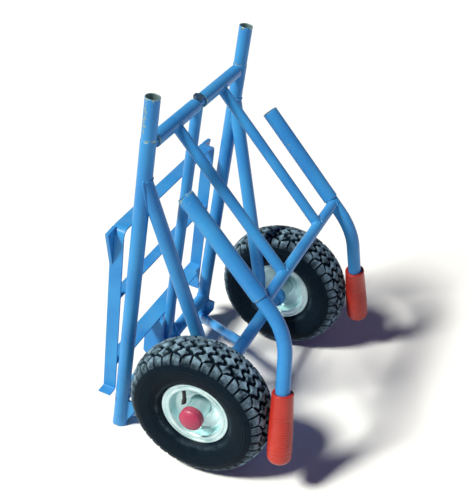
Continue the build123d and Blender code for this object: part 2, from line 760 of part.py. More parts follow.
# Lugs turn on the toe hinge tube and carry the lower slat; wings stiffen the top corners
lug_high = (toe_hinge_point - foot_line).dot(toe_up)
lug_rear = (toe_hinge_point - foot_line).dot(toe_rear)
slat_under = lower_slat - strip_thickness / 2
rear_turn = radians(lug_rear_turn)
lug_tip = lug_rear + lug_r * cos(rear_turn)
lug_neck = lug_high + lug_r * sin(rear_turn) + (lug_tip - lug_back) * cos(rear_turn) / sin(rear_turn)
lug_under = lug_high - lug_r
for side, hand in sides.items():
    lug_face = on_toe(hand * lug_x - lug_thickness / 2, 0, 0)
    with BuildPart() as toe_lug:
        with BuildSketch(Plane(origin=lug_face, x_dir=toe_rear, z_dir=across)):
            with Locations((lug_rear, lug_high)):
                Circle(lug_r)
            with BuildLine():
                Polyline(
                    (lug_tip, lug_high + lug_r * sin(rear_turn)),
                    (lug_back, lug_neck),
                    (lug_back, slat_under),
                    (-lug_front, slat_under),
                    (-lug_front, lug_under + lug_corner),
                    (lug_corner - lug_front, lug_under),
                    (lug_rear, lug_under),
                    close=True,
                )
            make_face()
            with Locations((lug_rear, lug_high)):
                Circle(toe_hinge_r + running_gap, mode=Mode.SUBTRACT)
        extrude(amount=lug_thickness)
    keep(toe_lug, f"{side}_toe_lug")

    wing_x = toe_side + strip_thickness / 2
    toe_height = toe_top - toe_bottom
    with BuildPart() as toe_wing:
        with BuildSketch(Plane(origin=on_toe(0, -strip_front, 0), x_dir=across, z_dir=-toe_rear)):
            with BuildLine():
                Polyline(
                    (hand * (wing_x - corner_bend / 2), toe_top),
                    (hand * (wing_x + wing_out), toe_top - strip_thickness),
                    (hand * wing_x, toe_top - wing_tall),
                    (hand * (wing_x - corner_bend / 2), toe_top - wing_tall),
                    close=True,
                )
            make_face()
            with Locations((0, toe_top - toe_height / 2)):
                corner_r = corner_bend + strip_thickness / 2
                RectangleRounded(2 * wing_x, toe_height, corner_r, mode=Mode.SUBTRACT)
        extrude(amount=-wing_thickness)
    keep(toe_wing, f"{side}_toe_wing")
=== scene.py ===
import json
import math
import bmesh
import bpy
import numpy as np
from mathutils import Matrix, Vector


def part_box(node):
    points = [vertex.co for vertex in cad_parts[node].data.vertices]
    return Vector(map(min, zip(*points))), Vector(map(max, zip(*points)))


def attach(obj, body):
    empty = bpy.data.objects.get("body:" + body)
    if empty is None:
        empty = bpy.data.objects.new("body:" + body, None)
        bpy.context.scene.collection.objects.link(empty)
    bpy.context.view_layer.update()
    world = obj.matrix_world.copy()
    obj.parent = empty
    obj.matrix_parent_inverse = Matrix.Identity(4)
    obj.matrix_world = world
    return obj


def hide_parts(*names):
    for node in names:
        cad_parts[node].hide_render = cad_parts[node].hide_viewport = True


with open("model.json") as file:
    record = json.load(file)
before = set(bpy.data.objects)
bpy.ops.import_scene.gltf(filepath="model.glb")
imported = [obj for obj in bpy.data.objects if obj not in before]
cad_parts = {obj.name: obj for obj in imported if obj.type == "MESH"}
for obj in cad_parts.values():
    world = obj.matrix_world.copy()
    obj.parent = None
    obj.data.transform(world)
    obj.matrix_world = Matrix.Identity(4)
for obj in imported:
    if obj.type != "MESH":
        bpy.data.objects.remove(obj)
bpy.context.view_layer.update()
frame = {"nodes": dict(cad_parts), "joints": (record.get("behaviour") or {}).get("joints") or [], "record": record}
nodes = frame["nodes"]
joints = {joint["name"]: joint for joint in frame["joints"]}
sides = {"left": 1, "right": -1}
sameSpot = 1e-5          # metres within which two places count as one
print("frame loaded:", len(nodes), "nodes")


# Vectors made one long, along the last axis.
def unit(vectors):
    vectors = np.asarray(vectors, float)
    return vectors / np.linalg.norm(vectors, axis=-1, keepdims=True)


# Even turns round a circle from 0, in radians.
def turns(count):
    return np.linspace(0, 2 * math.pi, count, endpoint=False)


# 1 at the middle, falling off as e to the minus (distance / width) squared.
def bell(value, middle, width):
    return np.exp(-((value - middle) / width) ** 2)


# 0 below low, 1 above high, and 3 share^2 - 2 share^3 between them.
def smooth(value, low, high):
    share = np.clip((value - low) / (high - low), 0, 1)
    return share * share * (3 - 2 * share)


# The fall of a quarter circle: nothing at share 0 and the whole radius at share 1.
def roundOff(share, radius):
    return radius * (1 - np.sqrt(1 - np.clip(share, 0, 1) ** 2))


# Places and directions that the record's joints give
across = np.array((1.0, 0.0, 0.0))
hingePoint = np.array(joints["handle_fold"]["pos_m"])
toeHingePoint = np.array(joints["toe_fold"]["pos_m"])
upDir = unit(hingePoint - toeHingePoint)
rearDir = np.cross(upDir, across)          # square to the uprights, towards the grips
armDir = -unit(joints["left_sleeve_slide"]["axis"])
wheelX, axleY, axleZ = joints["left_wheel_spin"]["pos_m"]
axlePoint = np.array((0.0, axleY, axleZ))
wheelMiddles = {side: axlePoint + across * hand * wheelX for side, hand in sides.items()}
floorPoint = hingePoint - upDir * hingePoint[2] / upDir[2]          # the uprights' plane meets the floor here


# The middle and the half widths of a CAD node's box.
def boxOf(name):
    low, high = (np.array(corner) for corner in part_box(name))
    return (low + high) / 2, (high - low) / 2


# All corners of a CAD node at rest, as rows of x, y, z in metres.
def nodePoints(name):
    mesh = nodes[name].data
    flat = np.empty(len(mesh.vertices) * 3, np.float32)
    mesh.vertices.foreach_get("co", flat)
    return flat.reshape(-1, 3).astype(float)


# Places along a line through a point, and distances from it, of each of some points.
def aboutLine(points, through, axis):
    away = points - through
    along = away @ axis
    return along, np.linalg.norm(away - along[:, None] * axis, axis=1)


# A node about a line: lowest and highest place along it, and nearest and farthest distance from it.
def measureRound(name, through, axis):
    along, distance = aboutLine(nodePoints(name), through, axis)
    return along.min(), along.max(), distance.min(), distance.max()


# Two sides square to a run, so that sideA x sideB points along it. sideA is as near to across as it can be, or
# to y where the run itself is nearly across.
def squareTo(run):
    run = unit(run)
    level = across if abs(run[0]) < 0.9 else np.array((0.0, 1.0, 0.0))
    sideA = unit(level - run * (level @ run))
    return sideA, np.cross(run, sideA)


# An outline with its corners rounded: each corner becomes an arc that touches both of its lines.
def roundCorners(corners, radii, closed=False, steps=5):
    corners = np.asarray(corners, float)
    made = []
    for i, radius in enumerate(radii):
        here = corners[i]
        if radius == 0 or (not closed and i in (0, len(corners) - 1)):
            made.append(here[None])
            continue
        back = unit(corners[i - 1] - here)
        ahead = unit(corners[(i + 1) % len(corners)] - here)
        half = math.acos(np.clip(back @ ahead, -1, 1)) / 2
        middle = here + unit(back + ahead) * radius / math.sin(half)
        share = np.linspace(0, 1, steps)[:, None]
        first = here + back * radius / math.tan(half) - middle
        last = here + ahead * radius / math.tan(half) - middle
        made.append(middle + radius * unit(first * (1 - share) + last * share))
    return np.concatenate(made)


# More rows along an outline, where its lines are longer than the step. A closed one also fills its last line.
def fillRows(outline, step, closed=False):
    line = np.vstack((outline, outline[:1])) if closed else outline
    length = np.linalg.norm(np.diff(line, axis=0), axis=1)
    counts = np.maximum(1, np.ceil(length / step).astype(int))
    owner = np.repeat(np.arange(len(counts)), counts)
    share = (np.arange(counts.sum()) - np.repeat(np.cumsum(counts) - counts, counts)) / counts[owner]
    rows = line[owner] + share[:, None] * (line[owner + 1] - line[owner])
    return rows if closed else np.vstack((rows, line[-1:]))


# Rings: row i is a circle of radius[i] about middles[i], in the plane of the two sides.
def ringRows(middles, sideA, sideB, radius, columns):
    turn = turns(columns)[None, :, None]
    sideA = np.broadcast_to(sideA, middles.shape)[:, None, :]
    sideB = np.broadcast_to(sideB, middles.shape)[:, None, :]
    return middles[:, None, :] + radius[:, None, None] * (np.cos(turn) * sideA + np.sin(turn) * sideB)


# An outline of (along, radius) pairs turned about a line.
def turned(outline, start, run, columns):
    return ringRows(start + outline[:, :1] * run, *squareTo(run), outline[:, 1], columns)


# The faces of a grid of rows and columns: each four neighbours make a face, and the columns close round.
def gridFaces(rows, columns, closedRows):
    index = np.arange(rows * columns).reshape(rows, columns)
    low = index if closedRows else index[:-1]
    high = np.roll(index, -1, axis=0) if closedRows else index[1:]
    return np.stack((low, np.roll(low, -1, 1), np.roll(high, -1, 1), high), -1).reshape(-1, 4)


# UV of the same faces: metres along the rows and metres round the columns.
def gridUv(points, closedRows):
    rows, columns = points.shape[:2]
    stepAlong = np.linalg.norm(np.roll(points, -1, axis=0) - points, axis=2).mean(axis=1)
    along = np.concatenate(((0.0,), np.cumsum(stepAlong)))
    girth = np.linalg.norm(np.roll(points, -1, axis=1) - points, axis=2).sum(axis=1).max()
    around = np.linspace(0, girth, columns + 1)
    count = rows if closedRows else rows - 1
    u = np.stack((along[:count], along[:count], along[1:count + 1], along[1:count + 1]), -1)
    v = np.stack((around[:-1], around[1:], around[1:], around[:-1]), -1)
    return np.stack(np.broadcast_arrays(u[:, None, :], v[None]), -1).reshape(-1, 2)


# A new object at the origin from corners, faces, and optional UV and worn-edge values.
def newPiece(name, corners, faces, material, uv=None, worn=None):
    mesh = bpy.data.meshes.new(name)
    mesh.from_pydata(np.asarray(corners).tolist(), [], faces)
    mesh.polygons.foreach_set("use_smooth", np.ones(len(mesh.polygons), bool))
    if uv is not None:
        mesh.uv_layers.new(name="skin").data.foreach_set("uv", np.asarray(uv, np.float32).ravel())
    if worn is not None:
        wornLayer = mesh.attributes.new("worn", "FLOAT", "POINT")
        wornLayer.data.foreach_set("value", np.asarray(worn, np.float32))
    mesh.materials.append(material)
    mesh.update()
    piece = bpy.data.objects.new(name, mesh)
    bpy.context.scene.collection.objects.link(piece)
    return piece


# What a piece rides on, and the CAD nodes that it stands for and hides.
def place(piece, body, slot, *replaced):
    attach(piece, body)
    if replaced:
        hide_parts(*replaced)


# A piece from a grid, in its slot's material. Open ends are closed by a fan to a pole in their ring's middle.
def gridPiece(name, points, body, slot, *replaced, closedRows=False, worn=0.0):
    rows, columns = points.shape[:2]
    faces = gridFaces(rows, columns, closedRows).tolist()
    uv = gridUv(points, closedRows)
    corners = points.reshape(-1, 3)
    wornRows = np.broadcast_to(worn, (rows, columns))
    wornFlat = wornRows.ravel()
    if not closedRows:
        ring = np.arange(columns)
        nextRing = np.roll(ring, -1)
        last = (rows - 1) * columns
        poles = rows * columns + np.arange(2)
        startFan = np.stack((np.full(columns, poles[0]), nextRing, ring), -1)
        endFan = np.stack((np.full(columns, poles[1]), last + ring, last + nextRing), -1)
        faces += startFan.tolist() + endFan.tolist()
        corners = np.vstack((corners, points[0].mean(axis=0), points[-1].mean(axis=0)))
        wornFlat = np.concatenate((wornFlat, wornRows[0, :1], wornRows[-1, :1]))
        uv = np.vstack((uv, np.zeros((2 * 3 * columns, 2))))          # two fans of three-cornered faces
    piece = newPiece(name, corners, faces, slotMaterials[slot], uv, wornFlat)
    place(piece, body, slot, *replaced)


# Shader helpers: a value that is a socket is linked, and anything else is set on the input.
def addNode(tree, kind, inputs=None, **settings):
    node = tree.nodes.new(kind)
    for key, value in settings.items():
        setattr(node, key, value)
    for key, value in (inputs or {}).items():
        if isinstance(value, bpy.types.NodeSocket):
            tree.links.new(value, node.inputs[key])
        else:
            node.inputs[key].default_value = value
    return node


def mathNode(tree, operation, first, second):
    return addNode(tree, "ShaderNodeMath", {0: first, 1: second}, operation=operation).outputs[0]


# A value carried smoothly from 0 at low to 1 at high.
def ramp(tree, value, low, high):
    inputs = {"Value": value, "From Min": low, "From Max": high}
    return addNode(tree, "ShaderNodeMapRange", inputs, interpolation_type="SMOOTHSTEP").outputs[0]


def mixColour(tree, share, first, second):
    return addNode(tree, "ShaderNodeMix", {0: share, 6: first, 7: second}, data_type="RGBA").outputs[2]


def mixValue(tree, share, first, second):
    return addNode(tree, "ShaderNodeMix", {0: share, 2: first, 3: second}).outputs[0]


# Noise over the piece's own coordinates, or over a vector that is given.
def noise(tree, scale, detail=3.0, roughness=0.5, vector=None):
    if vector is None:
        vector = addNode(tree, "ShaderNodeTexCoord").outputs["Object"]
    inputs = {"Vector": vector, "Scale": scale, "Detail": detail, "Roughness": roughness}
    return addNode(tree, "ShaderNodeTexNoise", inputs).outputs[0]


def wornValue(tree):
    return addNode(tree, "ShaderNodeAttribute", attribute_name="worn").outputs["Fac"]


def newGroup(name, inputs, outputs):
    group = bpy.data.node_groups.new(name, "ShaderNodeTree")
    for label, value in inputs.items():
        socket = group.interface.new_socket(label, in_out="INPUT", socket_type="NodeSocketFloat")
        socket.default_value = value
    for label in outputs:
        group.interface.new_socket(label, in_out="OUTPUT", socket_type="NodeSocketFloat")
    return group, group.nodes.new("NodeGroupInput").outputs, group.nodes.new("NodeGroupOutput").inputs


# Wear: chips where noise and the piece's worn value add up, slow mottling, and a skin height for bump
wearLook = {
    "inputs": {
        "Chip Scale": 160.0, "Chip Reach": 0.5, "Loose Chips": 0.0, "Skin Scale": 700.0, "Skin Depth": 0.1,
    },
    "chipDetail": 5.0, "chipRough": 0.62, "chipEdge": (0.74, 0.80),
    "patchScale": 14.0, "patchDetail": 2.0, "patchEdge": (0.5, 0.75),
    "skinDetail": 1.0, "mottleScale": 11.0, "mottleDetail": 4.0,
}


def makeWearGroup():
    look = wearLook
    group, given, result = newGroup("wear", look["inputs"], ("Wear", "Mottle", "Height"))
    chips = noise(group, given["Chip Scale"], look["chipDetail"], look["chipRough"])
    patches = ramp(group, noise(group, look["patchScale"], look["patchDetail"]), *look["patchEdge"])
    push = mathNode(group, "MULTIPLY", wornValue(group), given["Chip Reach"])
    loose = mathNode(group, "MULTIPLY", patches, given["Loose Chips"])
    total = mathNode(group, "ADD", mathNode(group, "ADD", chips, push), loose)
    wear = ramp(group, total, *look["chipEdge"])
    grain = noise(group, given["Skin Scale"], look["skinDetail"])
    skin = mathNode(group, "MULTIPLY", grain, given["Skin Depth"])
    group.links.new(wear, result["Wear"])
    group.links.new(noise(group, look["mottleScale"], look["mottleDetail"]), result["Mottle"])
    group.links.new(mathNode(group, "SUBTRACT", skin, wear), result["Height"])
    return group


# Dust that settles on what faces up, broken by noise
dustLook = {"facing": (0.2, 1.0), "detail": 4.0, "rough": 0.6, "edge": (0.35, 0.7)}


def makeDustGroup():
    look = dustLook
    group, given, result = newGroup("dust", {"Amount": 0.3, "Grain": 60.0}, ("Dust",))
    normal = addNode(group, "ShaderNodeTexCoord").outputs["Normal"]
    upward = addNode(group, "ShaderNodeSeparateXYZ", {0: normal}).outputs["Z"]
    broken = ramp(group, noise(group, given["Grain"], look["detail"], look["rough"]), *look["edge"])
    settled = mathNode(group, "MULTIPLY", ramp(group, upward, *look["facing"]), broken)
    group.links.new(mathNode(group, "MULTIPLY", settled, given["Amount"]), result["Dust"])
    return group


# Fine marks round a turned or pressed piece: noise drawn out along the second UV axis.
def makeSpunGroup():
    group, given, result = newGroup("spunMarks", {"Fineness": 900.0, "Drawn": 14.0}, ("Marks",))
    skin = addNode(group, "ShaderNodeUVMap", uv_map="skin").outputs[0]
    parts = addNode(group, "ShaderNodeSeparateXYZ", {0: skin}).outputs
    along = mathNode(group, "MULTIPLY", parts["X"], given["Fineness"])
    around = mathNode(group, "MULTIPLY", parts["Y"], given["Drawn"])
    stretched = addNode(group, "ShaderNodeCombineXYZ", {"X": along, "Y": around}).outputs[0]
    group.links.new(noise(group, 1.0, vector=stretched), result["Marks"])
    return group


wearGroup = makeWearGroup()
dustGroup = makeDustGroup()
spunGroup = makeSpunGroup()


def useGroup(tree, group, inputs=None):
    return addNode(tree, "ShaderNodeGroup", inputs, node_tree=group).outputs


def newMaterial(name):
    material = bpy.data.materials.new(name)
    material.use_nodes = True
    tree = material.node_tree
    return material, tree, tree.nodes["Principled BSDF"]


bumpLook = {"depth": 0.0002, "strength": 0.6}


# Links what is given to the Principled shader, and sets plain values on it by their input's name.
def wire(tree, shader, links, height=None, depth=bumpLook["depth"], values=None):
    for key, socket in links.items():
        tree.links.new(socket, shader.inputs[key])
    for key, value in (values or {}).items():
        shader.inputs[key].default_value = value
    if height is not None:
        inputs = {"Height": height, "Distance": depth, "Strength": bumpLook["strength"]}
        bump = addNode(tree, "ShaderNodeBump", inputs)
        tree.links.new(bump.outputs[0], shader.inputs["Normal"])


# Blue enamel, chipped to grey steel and a little rust where a piece is worn, with some dust
paintLook = {
    "blue": (0.045, 0.290, 0.630, 1), "deepBlue": (0.033, 0.225, 0.570, 1), "mottle": (0.3, 0.7),
    "steel": (0.29, 0.42, 0.43, 1), "bareRough": 0.5, "bareMetal": 0.7,
    "rust": (0.21, 0.19, 0.12, 1), "rustScale": 55.0, "rustEdge": (0.56, 0.68),
    "dust": (0.30, 0.42, 0.55, 1), "dustFall": {"Amount": 0.10, "Grain": 45.0},
    "wear": {"Chip Reach": 0.34, "Loose Chips": 0.11}, "rough": (0.20, 0.38), "coat": 0.07,
    "values": {"Specular IOR Level": 0.17, "Coat Roughness": 0.12},
}


def makeBluePaint():
    look = paintLook
    material, tree, shader = newMaterial("bluePaint")
    wear = useGroup(tree, wearGroup, look["wear"])
    dust = useGroup(tree, dustGroup, look["dustFall"])["Dust"]
    paint = mixColour(tree, ramp(tree, wear["Mottle"], *look["mottle"]), look["deepBlue"], look["blue"])
    rusty = ramp(tree, noise(tree, look["rustScale"]), *look["rustEdge"])
    chipped = mixColour(tree, wear["Wear"], paint, mixColour(tree, rusty, look["steel"], look["rust"]))
    painted = mathNode(tree, "SUBTRACT", 1.0, wear["Wear"])
    gloss = mixValue(tree, wear["Mottle"], *look["rough"])
    links = {
        "Base Color": mixColour(tree, dust, chipped, look["dust"]),
        "Roughness": mathNode(tree, "ADD", mixValue(tree, wear["Wear"], gloss, look["bareRough"]), dust),
        "Metallic": mathNode(tree, "MULTIPLY", wear["Wear"], look["bareMetal"]),
        "Coat Weight": mathNode(tree, "MULTIPLY", painted, look["coat"]),
    }
    wire(tree, shader, links, wear["Height"], values=look["values"])
    return material


# Tyre rubber: near black, greyer and bluish on the worn faces of the tread, partly from dust and partly as painted
# sheen and painted light
rubberLook = {
    "rubber": (0.0009, 0.0050, 0.0105, 1), "faded": (0.0032, 0.0100, 0.0190, 1),
    # the dust colour is bluish-grey: partly dust, partly painted sheen
    "dust": (0.26, 0.40, 0.51, 1), "rough": (0.40, 0.60), "bump": 0.0003,
    "grimeScale": 75.0, "grimeDetail": 4.0, "grimeRough": 0.6, "grimeEdge": (0.25, 0.75),
    "wear": {"Chip Scale": 90.0, "Chip Reach": 0.42, "Skin Scale": 500.0, "Skin Depth": 0.5},
    "values": {"Specular IOR Level": 0.05},
}


def makeTyreRubber():
    look = rubberLook
    material, tree, shader = newMaterial("tyreRubber")
    wear = useGroup(tree, wearGroup, look["wear"])
    cloudy = noise(tree, look["grimeScale"], look["grimeDetail"], look["grimeRough"])
    grime = ramp(tree, cloudy, *look["grimeEdge"])
    colour = mixColour(tree, wear["Mottle"], look["rubber"], look["faded"])
    # where the worn value is high the bluish dust colour comes in: partly dust, partly painted sheen and painted
    # light
    rubbed = mathNode(tree, "MULTIPLY", wornValue(tree), grime)
    links = {
        "Base Color": mixColour(tree, rubbed, colour, look["dust"]),
        "Roughness": mixValue(tree, grime, *look["rough"]),
    }
    wire(tree, shader, links, wear["Height"], look["bump"], look["values"])
    return material


# Bright zinc plate, pressed and spun, with a blue-green tinge and faint cloudy patches
zincLook = {
    "dull": (0.50, 0.73, 0.75, 1), "bright": (0.76, 0.93, 0.95, 1),
    "cloudScale": 34.0, "cloudEdge": (0.3, 0.7), "rough": (0.32, 0.44), "markRough": 0.12, "bump": 0.00008,
    "wear": {"Skin Scale": 260.0, "Skin Depth": 0.25}, "values": {"Metallic": 0.80},
}


def makeZincPlate():
    look = zincLook
    material, tree, shader = newMaterial("zincPlate")
    wear = useGroup(tree, wearGroup, look["wear"])
    marks = useGroup(tree, spunGroup)["Marks"]
    cloudy = ramp(tree, noise(tree, look["cloudScale"]), *look["cloudEdge"])
    scratched = mathNode(tree, "MULTIPLY", marks, look["markRough"])
    links = {
        "Base Color": mixColour(tree, cloudy, look["dull"], look["bright"]),
        "Roughness": mathNode(tree, "ADD", mixValue(tree, cloudy, *look["rough"]), scratched),
    }
    wire(tree, shader, links, mathNode(tree, "ADD", marks, wear["Height"]), look["bump"], look["values"])
    return material


# Plainer materials: two mottled tones, with scuffs where the wear group chips, or with dust
plainLooks = {
    "blackRubber": {          # valve stems and inner tubes
        "tones": ((0.010, 0.011, 0.012, 1), (0.030, 0.032, 0.034, 1)), "rough": (0.4, 0.6),
        "wear": {"Skin Depth": 0.4},
    },
    "redGrip": {          # soft vinyl, a little faded and scuffed
        "tones": ((0.38, 0.018, 0.011, 1), (0.50, 0.035, 0.020, 1)), "rough": (0.30, 0.46),
        "wear": {"Chip Scale": 220.0, "Chip Reach": 0.30, "Skin Scale": 900.0, "Skin Depth": 0.35},
        "mottle": (0.3, 0.7), "scuff": (0.58, 0.20, 0.15, 1), "scuffShare": 0.35,
    },
    "redCap": {          # smooth plastic of the hub caps
        "tones": ((0.34, 0.024, 0.068, 1), (0.45, 0.043, 0.122, 1)), "rough": (0.36, 0.50),
        "wear": {"Chip Scale": 300.0, "Chip Reach": 0.2, "Skin Scale": 350.0, "Skin Depth": 0.2},
        # a pale pink tint, broken by noise, on the faces that look up
        "dust": (0.62, 0.40, 0.40, 1), "dustFall": {"Amount": 0.12, "Grain": 90.0},
    },
    "bareSteel": {          # turned steel of the axle and its fittings
        "tones": ((0.30, 0.30, 0.30, 1), (0.48, 0.48, 0.47, 1)), "rough": (0.32, 0.52),
        "wear": {"Chip Scale": 240.0, "Loose Chips": 0.12, "Skin Scale": 400.0, "Skin Depth": 0.4},
        "scuff": paintLook["rust"], "scuffShare": 1.0, "values": {"Metallic": 0.9},
    },
}
plainLooks["blackBolt"] = {          # blued steel of the centre bolt
    **plainLooks["bareSteel"], "tones": ((0.018, 0.055, 0.120, 1), (0.055, 0.115, 0.200, 1)),
    "values": {"Metallic": 0.4},
}


def makePlain(name):
    look = plainLooks[name]
    material, tree, shader = newMaterial(name)
    wear = useGroup(tree, wearGroup, look["wear"])
    share = ramp(tree, wear["Mottle"], *look["mottle"]) if "mottle" in look else wear["Mottle"]
    colour = mixColour(tree, share, *look["tones"])
    if "scuff" in look:
        scuffed = mathNode(tree, "MULTIPLY", wear["Wear"], look["scuffShare"])
        colour = mixColour(tree, scuffed, colour, look["scuff"])
    if "dust" in look:
        colour = mixColour(tree, useGroup(tree, dustGroup, look["dustFall"])["Dust"], colour, look["dust"])
    links = {"Base Color": colour, "Roughness": mixValue(tree, wear["Mottle"], *look["rough"])}
    wire(tree, shader, links, wear["Height"], values=look.get("values"))
    return material


slotMaterials = {
    "blue_paint": makeBluePaint(), "tyre_rubber": makeTyreRubber(), "zinc_plate": makeZincPlate(),
    "black_rubber": makePlain("blackRubber"), "bare_steel": makePlain("bareSteel"),
    "red_grip": makePlain("redGrip"), "red_cap": makePlain("redCap"),
}
for part in frame["record"]["subparts"]:
    for materialSlot in nodes[part["node"]].material_slots:
        materialSlot.material = slotMaterials[part["material_slot"]]
nodes["centre_bolt"].material_slots[0].material = makePlain("blackBolt")
print("materials made:", len(slotMaterials) + 1)

# Uprights: a squeezed foot cut level at the floor, a plain tube, a swage and an open spigot
uprightLook = {
    "columns": 64, "rowStep": 0.006, "footHeight": 0.030, "footRows": 8, "swage": 0.0016, "swageRound": 0.001,
    "rimRound": 0.0007, "boreDepth": 0.12, "rimFade": 0.005, "lipWidth": 0.0014, "lipWorn": 0.9,
    "soleFade": 0.006, "soleWorn": 0.8, "boreBare": 1.6, "rubTurn": -0.4, "rubWidth": 0.30, "rubRise": 0.01,
    "rubAll": 0.25, "rubStreak": 0.65,
}


# P(s, t) = base + up s + a(s) cos t across + b(s) sin t rear. Below the foot height a and b go in a
# straight line to the sole's half widths, and each column starts where it meets the floor.
def makeUpright(side, hand):
    look = uprightLook
    node = f"{side}_upright"
    boxMiddle, boxHalf = boxOf(node)
    tubeR = boxHalf[0]
    base = floorPoint + across * boxMiddle[0]
    cloud = nodePoints(node)
    along, distance = aboutLine(cloud, base, upDir)
    top = along.max()
    atTop = along > top - sameSpot
    spigotR, boreR = distance[atTop].max(), distance[atTop].min()
    onSpigot = (np.abs(distance - spigotR) < sameSpot) & (along > top / 2)
    lip = along[onSpigot].min()
    sole = cloud[np.abs(cloud[:, 2]) < sameSpot] - base
    soleA = np.abs(sole[:, 0]).max()
    soleB = np.abs(sole @ rearDir).max()
    corners = [(look["footHeight"], tubeR), (lip - look["swage"], tubeR), (lip, spigotR), (top, spigotR),
               (top, boreR), (top - look["boreDepth"], boreR)]
    radii = [0, look["swageRound"], look["swageRound"], look["rimRound"], look["rimRound"], 0]
    wall = fillRows(roundCorners(corners, radii), look["rowStep"])
    upper = turned(wall, base, upDir, look["columns"])
    turn = turns(look["columns"])
    share = np.linspace(0, 1, look["footRows"], endpoint=False)[:, None]
    floorAt = -soleB * np.sin(turn) * rearDir[2] / upDir[2]
    rise = floorAt * (1 - share) + look["footHeight"] * share
    halfA = (soleA + (tubeR - soleA) * share) * np.cos(turn)
    halfB = (soleB + (tubeR - soleB) * share) * np.sin(turn)
    foot = base + rise[..., None] * upDir + halfA[..., None] * across + halfB[..., None] * rearDir
    points = np.concatenate((foot, upper))
    # Worn at the rim, the swage and the sole and in a streak on the spigot's outer side; the bore is bare
    reach = (points - base) @ upDir
    rim = np.exp(-np.abs(reach - top) / look["rimFade"])
    lipLine = look["lipWorn"] * bell(reach, lip, look["lipWidth"])
    soleLine = look["soleWorn"] * np.exp(-np.clip(reach, 0, 1) / look["soleFade"])
    outTurn = turn if hand > 0 else math.pi - turn
    streak = bell((outTurn - look["rubTurn"] + math.pi) % (2 * math.pi), math.pi, look["rubWidth"])
    rubbed = np.clip((reach - lip) / look["rubRise"], 0, 1) * (look["rubAll"] + look["rubStreak"] * streak)
    inBore = np.concatenate((np.zeros(len(foot)), wall[:, 1] < (boreR + spigotR) / 2))[:, None]
    bare = np.broadcast_to(look["boreBare"] * inBore, reach.shape)
    worn = np.maximum.reduce((rim, lipLine, soleLine, rubbed, bare))
    gridPiece(f"{side}UprightTube", points, "frame", "blue_paint", node, worn=worn)


for side, hand in sides.items():
    makeUpright(side, hand)

# Sleeves: open tubes with rounded, chipped ends
sleeveLook = {
    "columns": 64, "rimRound": 0.0006, "rowStep": 0.006, "rimFade": 0.004, "rimWorn": 0.85, "wornAll": 0.12,
}


# An outline of (along, radius) round the wall's section, closed, turned about the sleeve's line.
def makeSleeve(node, name, body, through, axis):
    look = sleeveLook
    start, end, boreR, outerR = measureRound(node, through, axis)
    corners = [(start, outerR), (end, outerR), (end, boreR), (start, boreR)]
    outline = roundCorners(corners, [look["rimRound"]] * 4, closed=True)
    outline = fillRows(outline, look["rowStep"], closed=True)
    points = turned(outline, through, axis, look["columns"])
    nearEnd = np.minimum(outline[:, 0] - start, end - outline[:, 0])
    worn = np.maximum(look["rimWorn"] * np.exp(-nearEnd / look["rimFade"]), look["wornAll"])
    gridPiece(name, points, body, "blue_paint", node, closedRows=True, worn=worn[:, None])


track = boxOf("left_locking_sleeve")[0][0]
for side, hand in sides.items():
    handleLine = hingePoint + across * hand * track
    makeSleeve(f"{side}_locking_sleeve", f"{side}SlidingSleeve", f"{side}_sleeve", handleLine, armDir)
    makeSleeve(f"{side}_hinge_sleeve", f"{side}HingeSleeve", "handle", hingePoint, across)
print("uprights and sleeves made")

# Flat pieces: the CAD shape with its loose triangles merged, flat faces joined, and edges eased by a bevel
plateLook = {"ease": 0.0006, "segments": 2, "edgeAngle": 35.0, "flatAngle": 0.4, "mergeStep": 1e-6}


def makePlate(node, name, body):
    look = plateLook
    points = nodePoints(node)
    grid = np.round(points / look["mergeStep"]).astype(np.int64)
    _, first, owner = np.unique(grid, axis=0, return_index=True, return_inverse=True)
    mesh = nodes[node].data
    triangles = np.empty(len(mesh.polygons) * 3, np.int32)
    mesh.polygons.foreach_get("vertices", triangles)
    faces = owner.ravel()[triangles.reshape(-1, 3)]
    distinct = (faces != np.roll(faces, -1, axis=1)).all(axis=1)
    piece = newPiece(name, points[first], faces[distinct].tolist(), slotMaterials["blue_paint"])
    work = bmesh.new()
    work.from_mesh(piece.data)
    flat = math.radians(look["flatAngle"])
    bmesh.ops.dissolve_limit(work, angle_limit=flat, verts=work.verts, edges=work.edges)
    work.to_mesh(piece.data)
    work.free()
    bevel = piece.modifiers.new("ease", "BEVEL")
    bevel.width = look["ease"]
    bevel.segments = look["segments"]
    bevel.limit_method = "ANGLE"
    bevel.angle_limit = math.radians(look["edgeAngle"])
    bevel.harden_normals = True
    place(piece, body, "blue_paint", node)


makePlate("toe_frame", "toeStrip", "toe")
makePlate("upper_toe_slat", "upperToeSlat", "toe")
makePlate("lower_toe_slat", "lowerToeSlat", "toe")
for side in sides:
    makePlate(f"{side}_toe_lug", f"{side}ToeLug", "toe")
    makePlate(f"{side}_toe_wing", f"{side}ToeWing", "toe")
    makePlate(f"{side}_foot_gusset", f"{side}FootGusset", "frame")
print("plates made")

# Weld beads: a small round bead carried along the line where a tube meets another, with ripples
weldLook = {
    "radius": 0.0020, "thin": 0.0014, "columns": 8, "steps": 96, "ripple": 0.16, "ripplePitch": 0.0028,
    "leastWaves": 6, "wobble": 0.08, "wobbleRate": 0.37, "wobbleStart": 1.3, "sink": 0.0006, "tip": 0.02,
    "aim": 0.1,
}


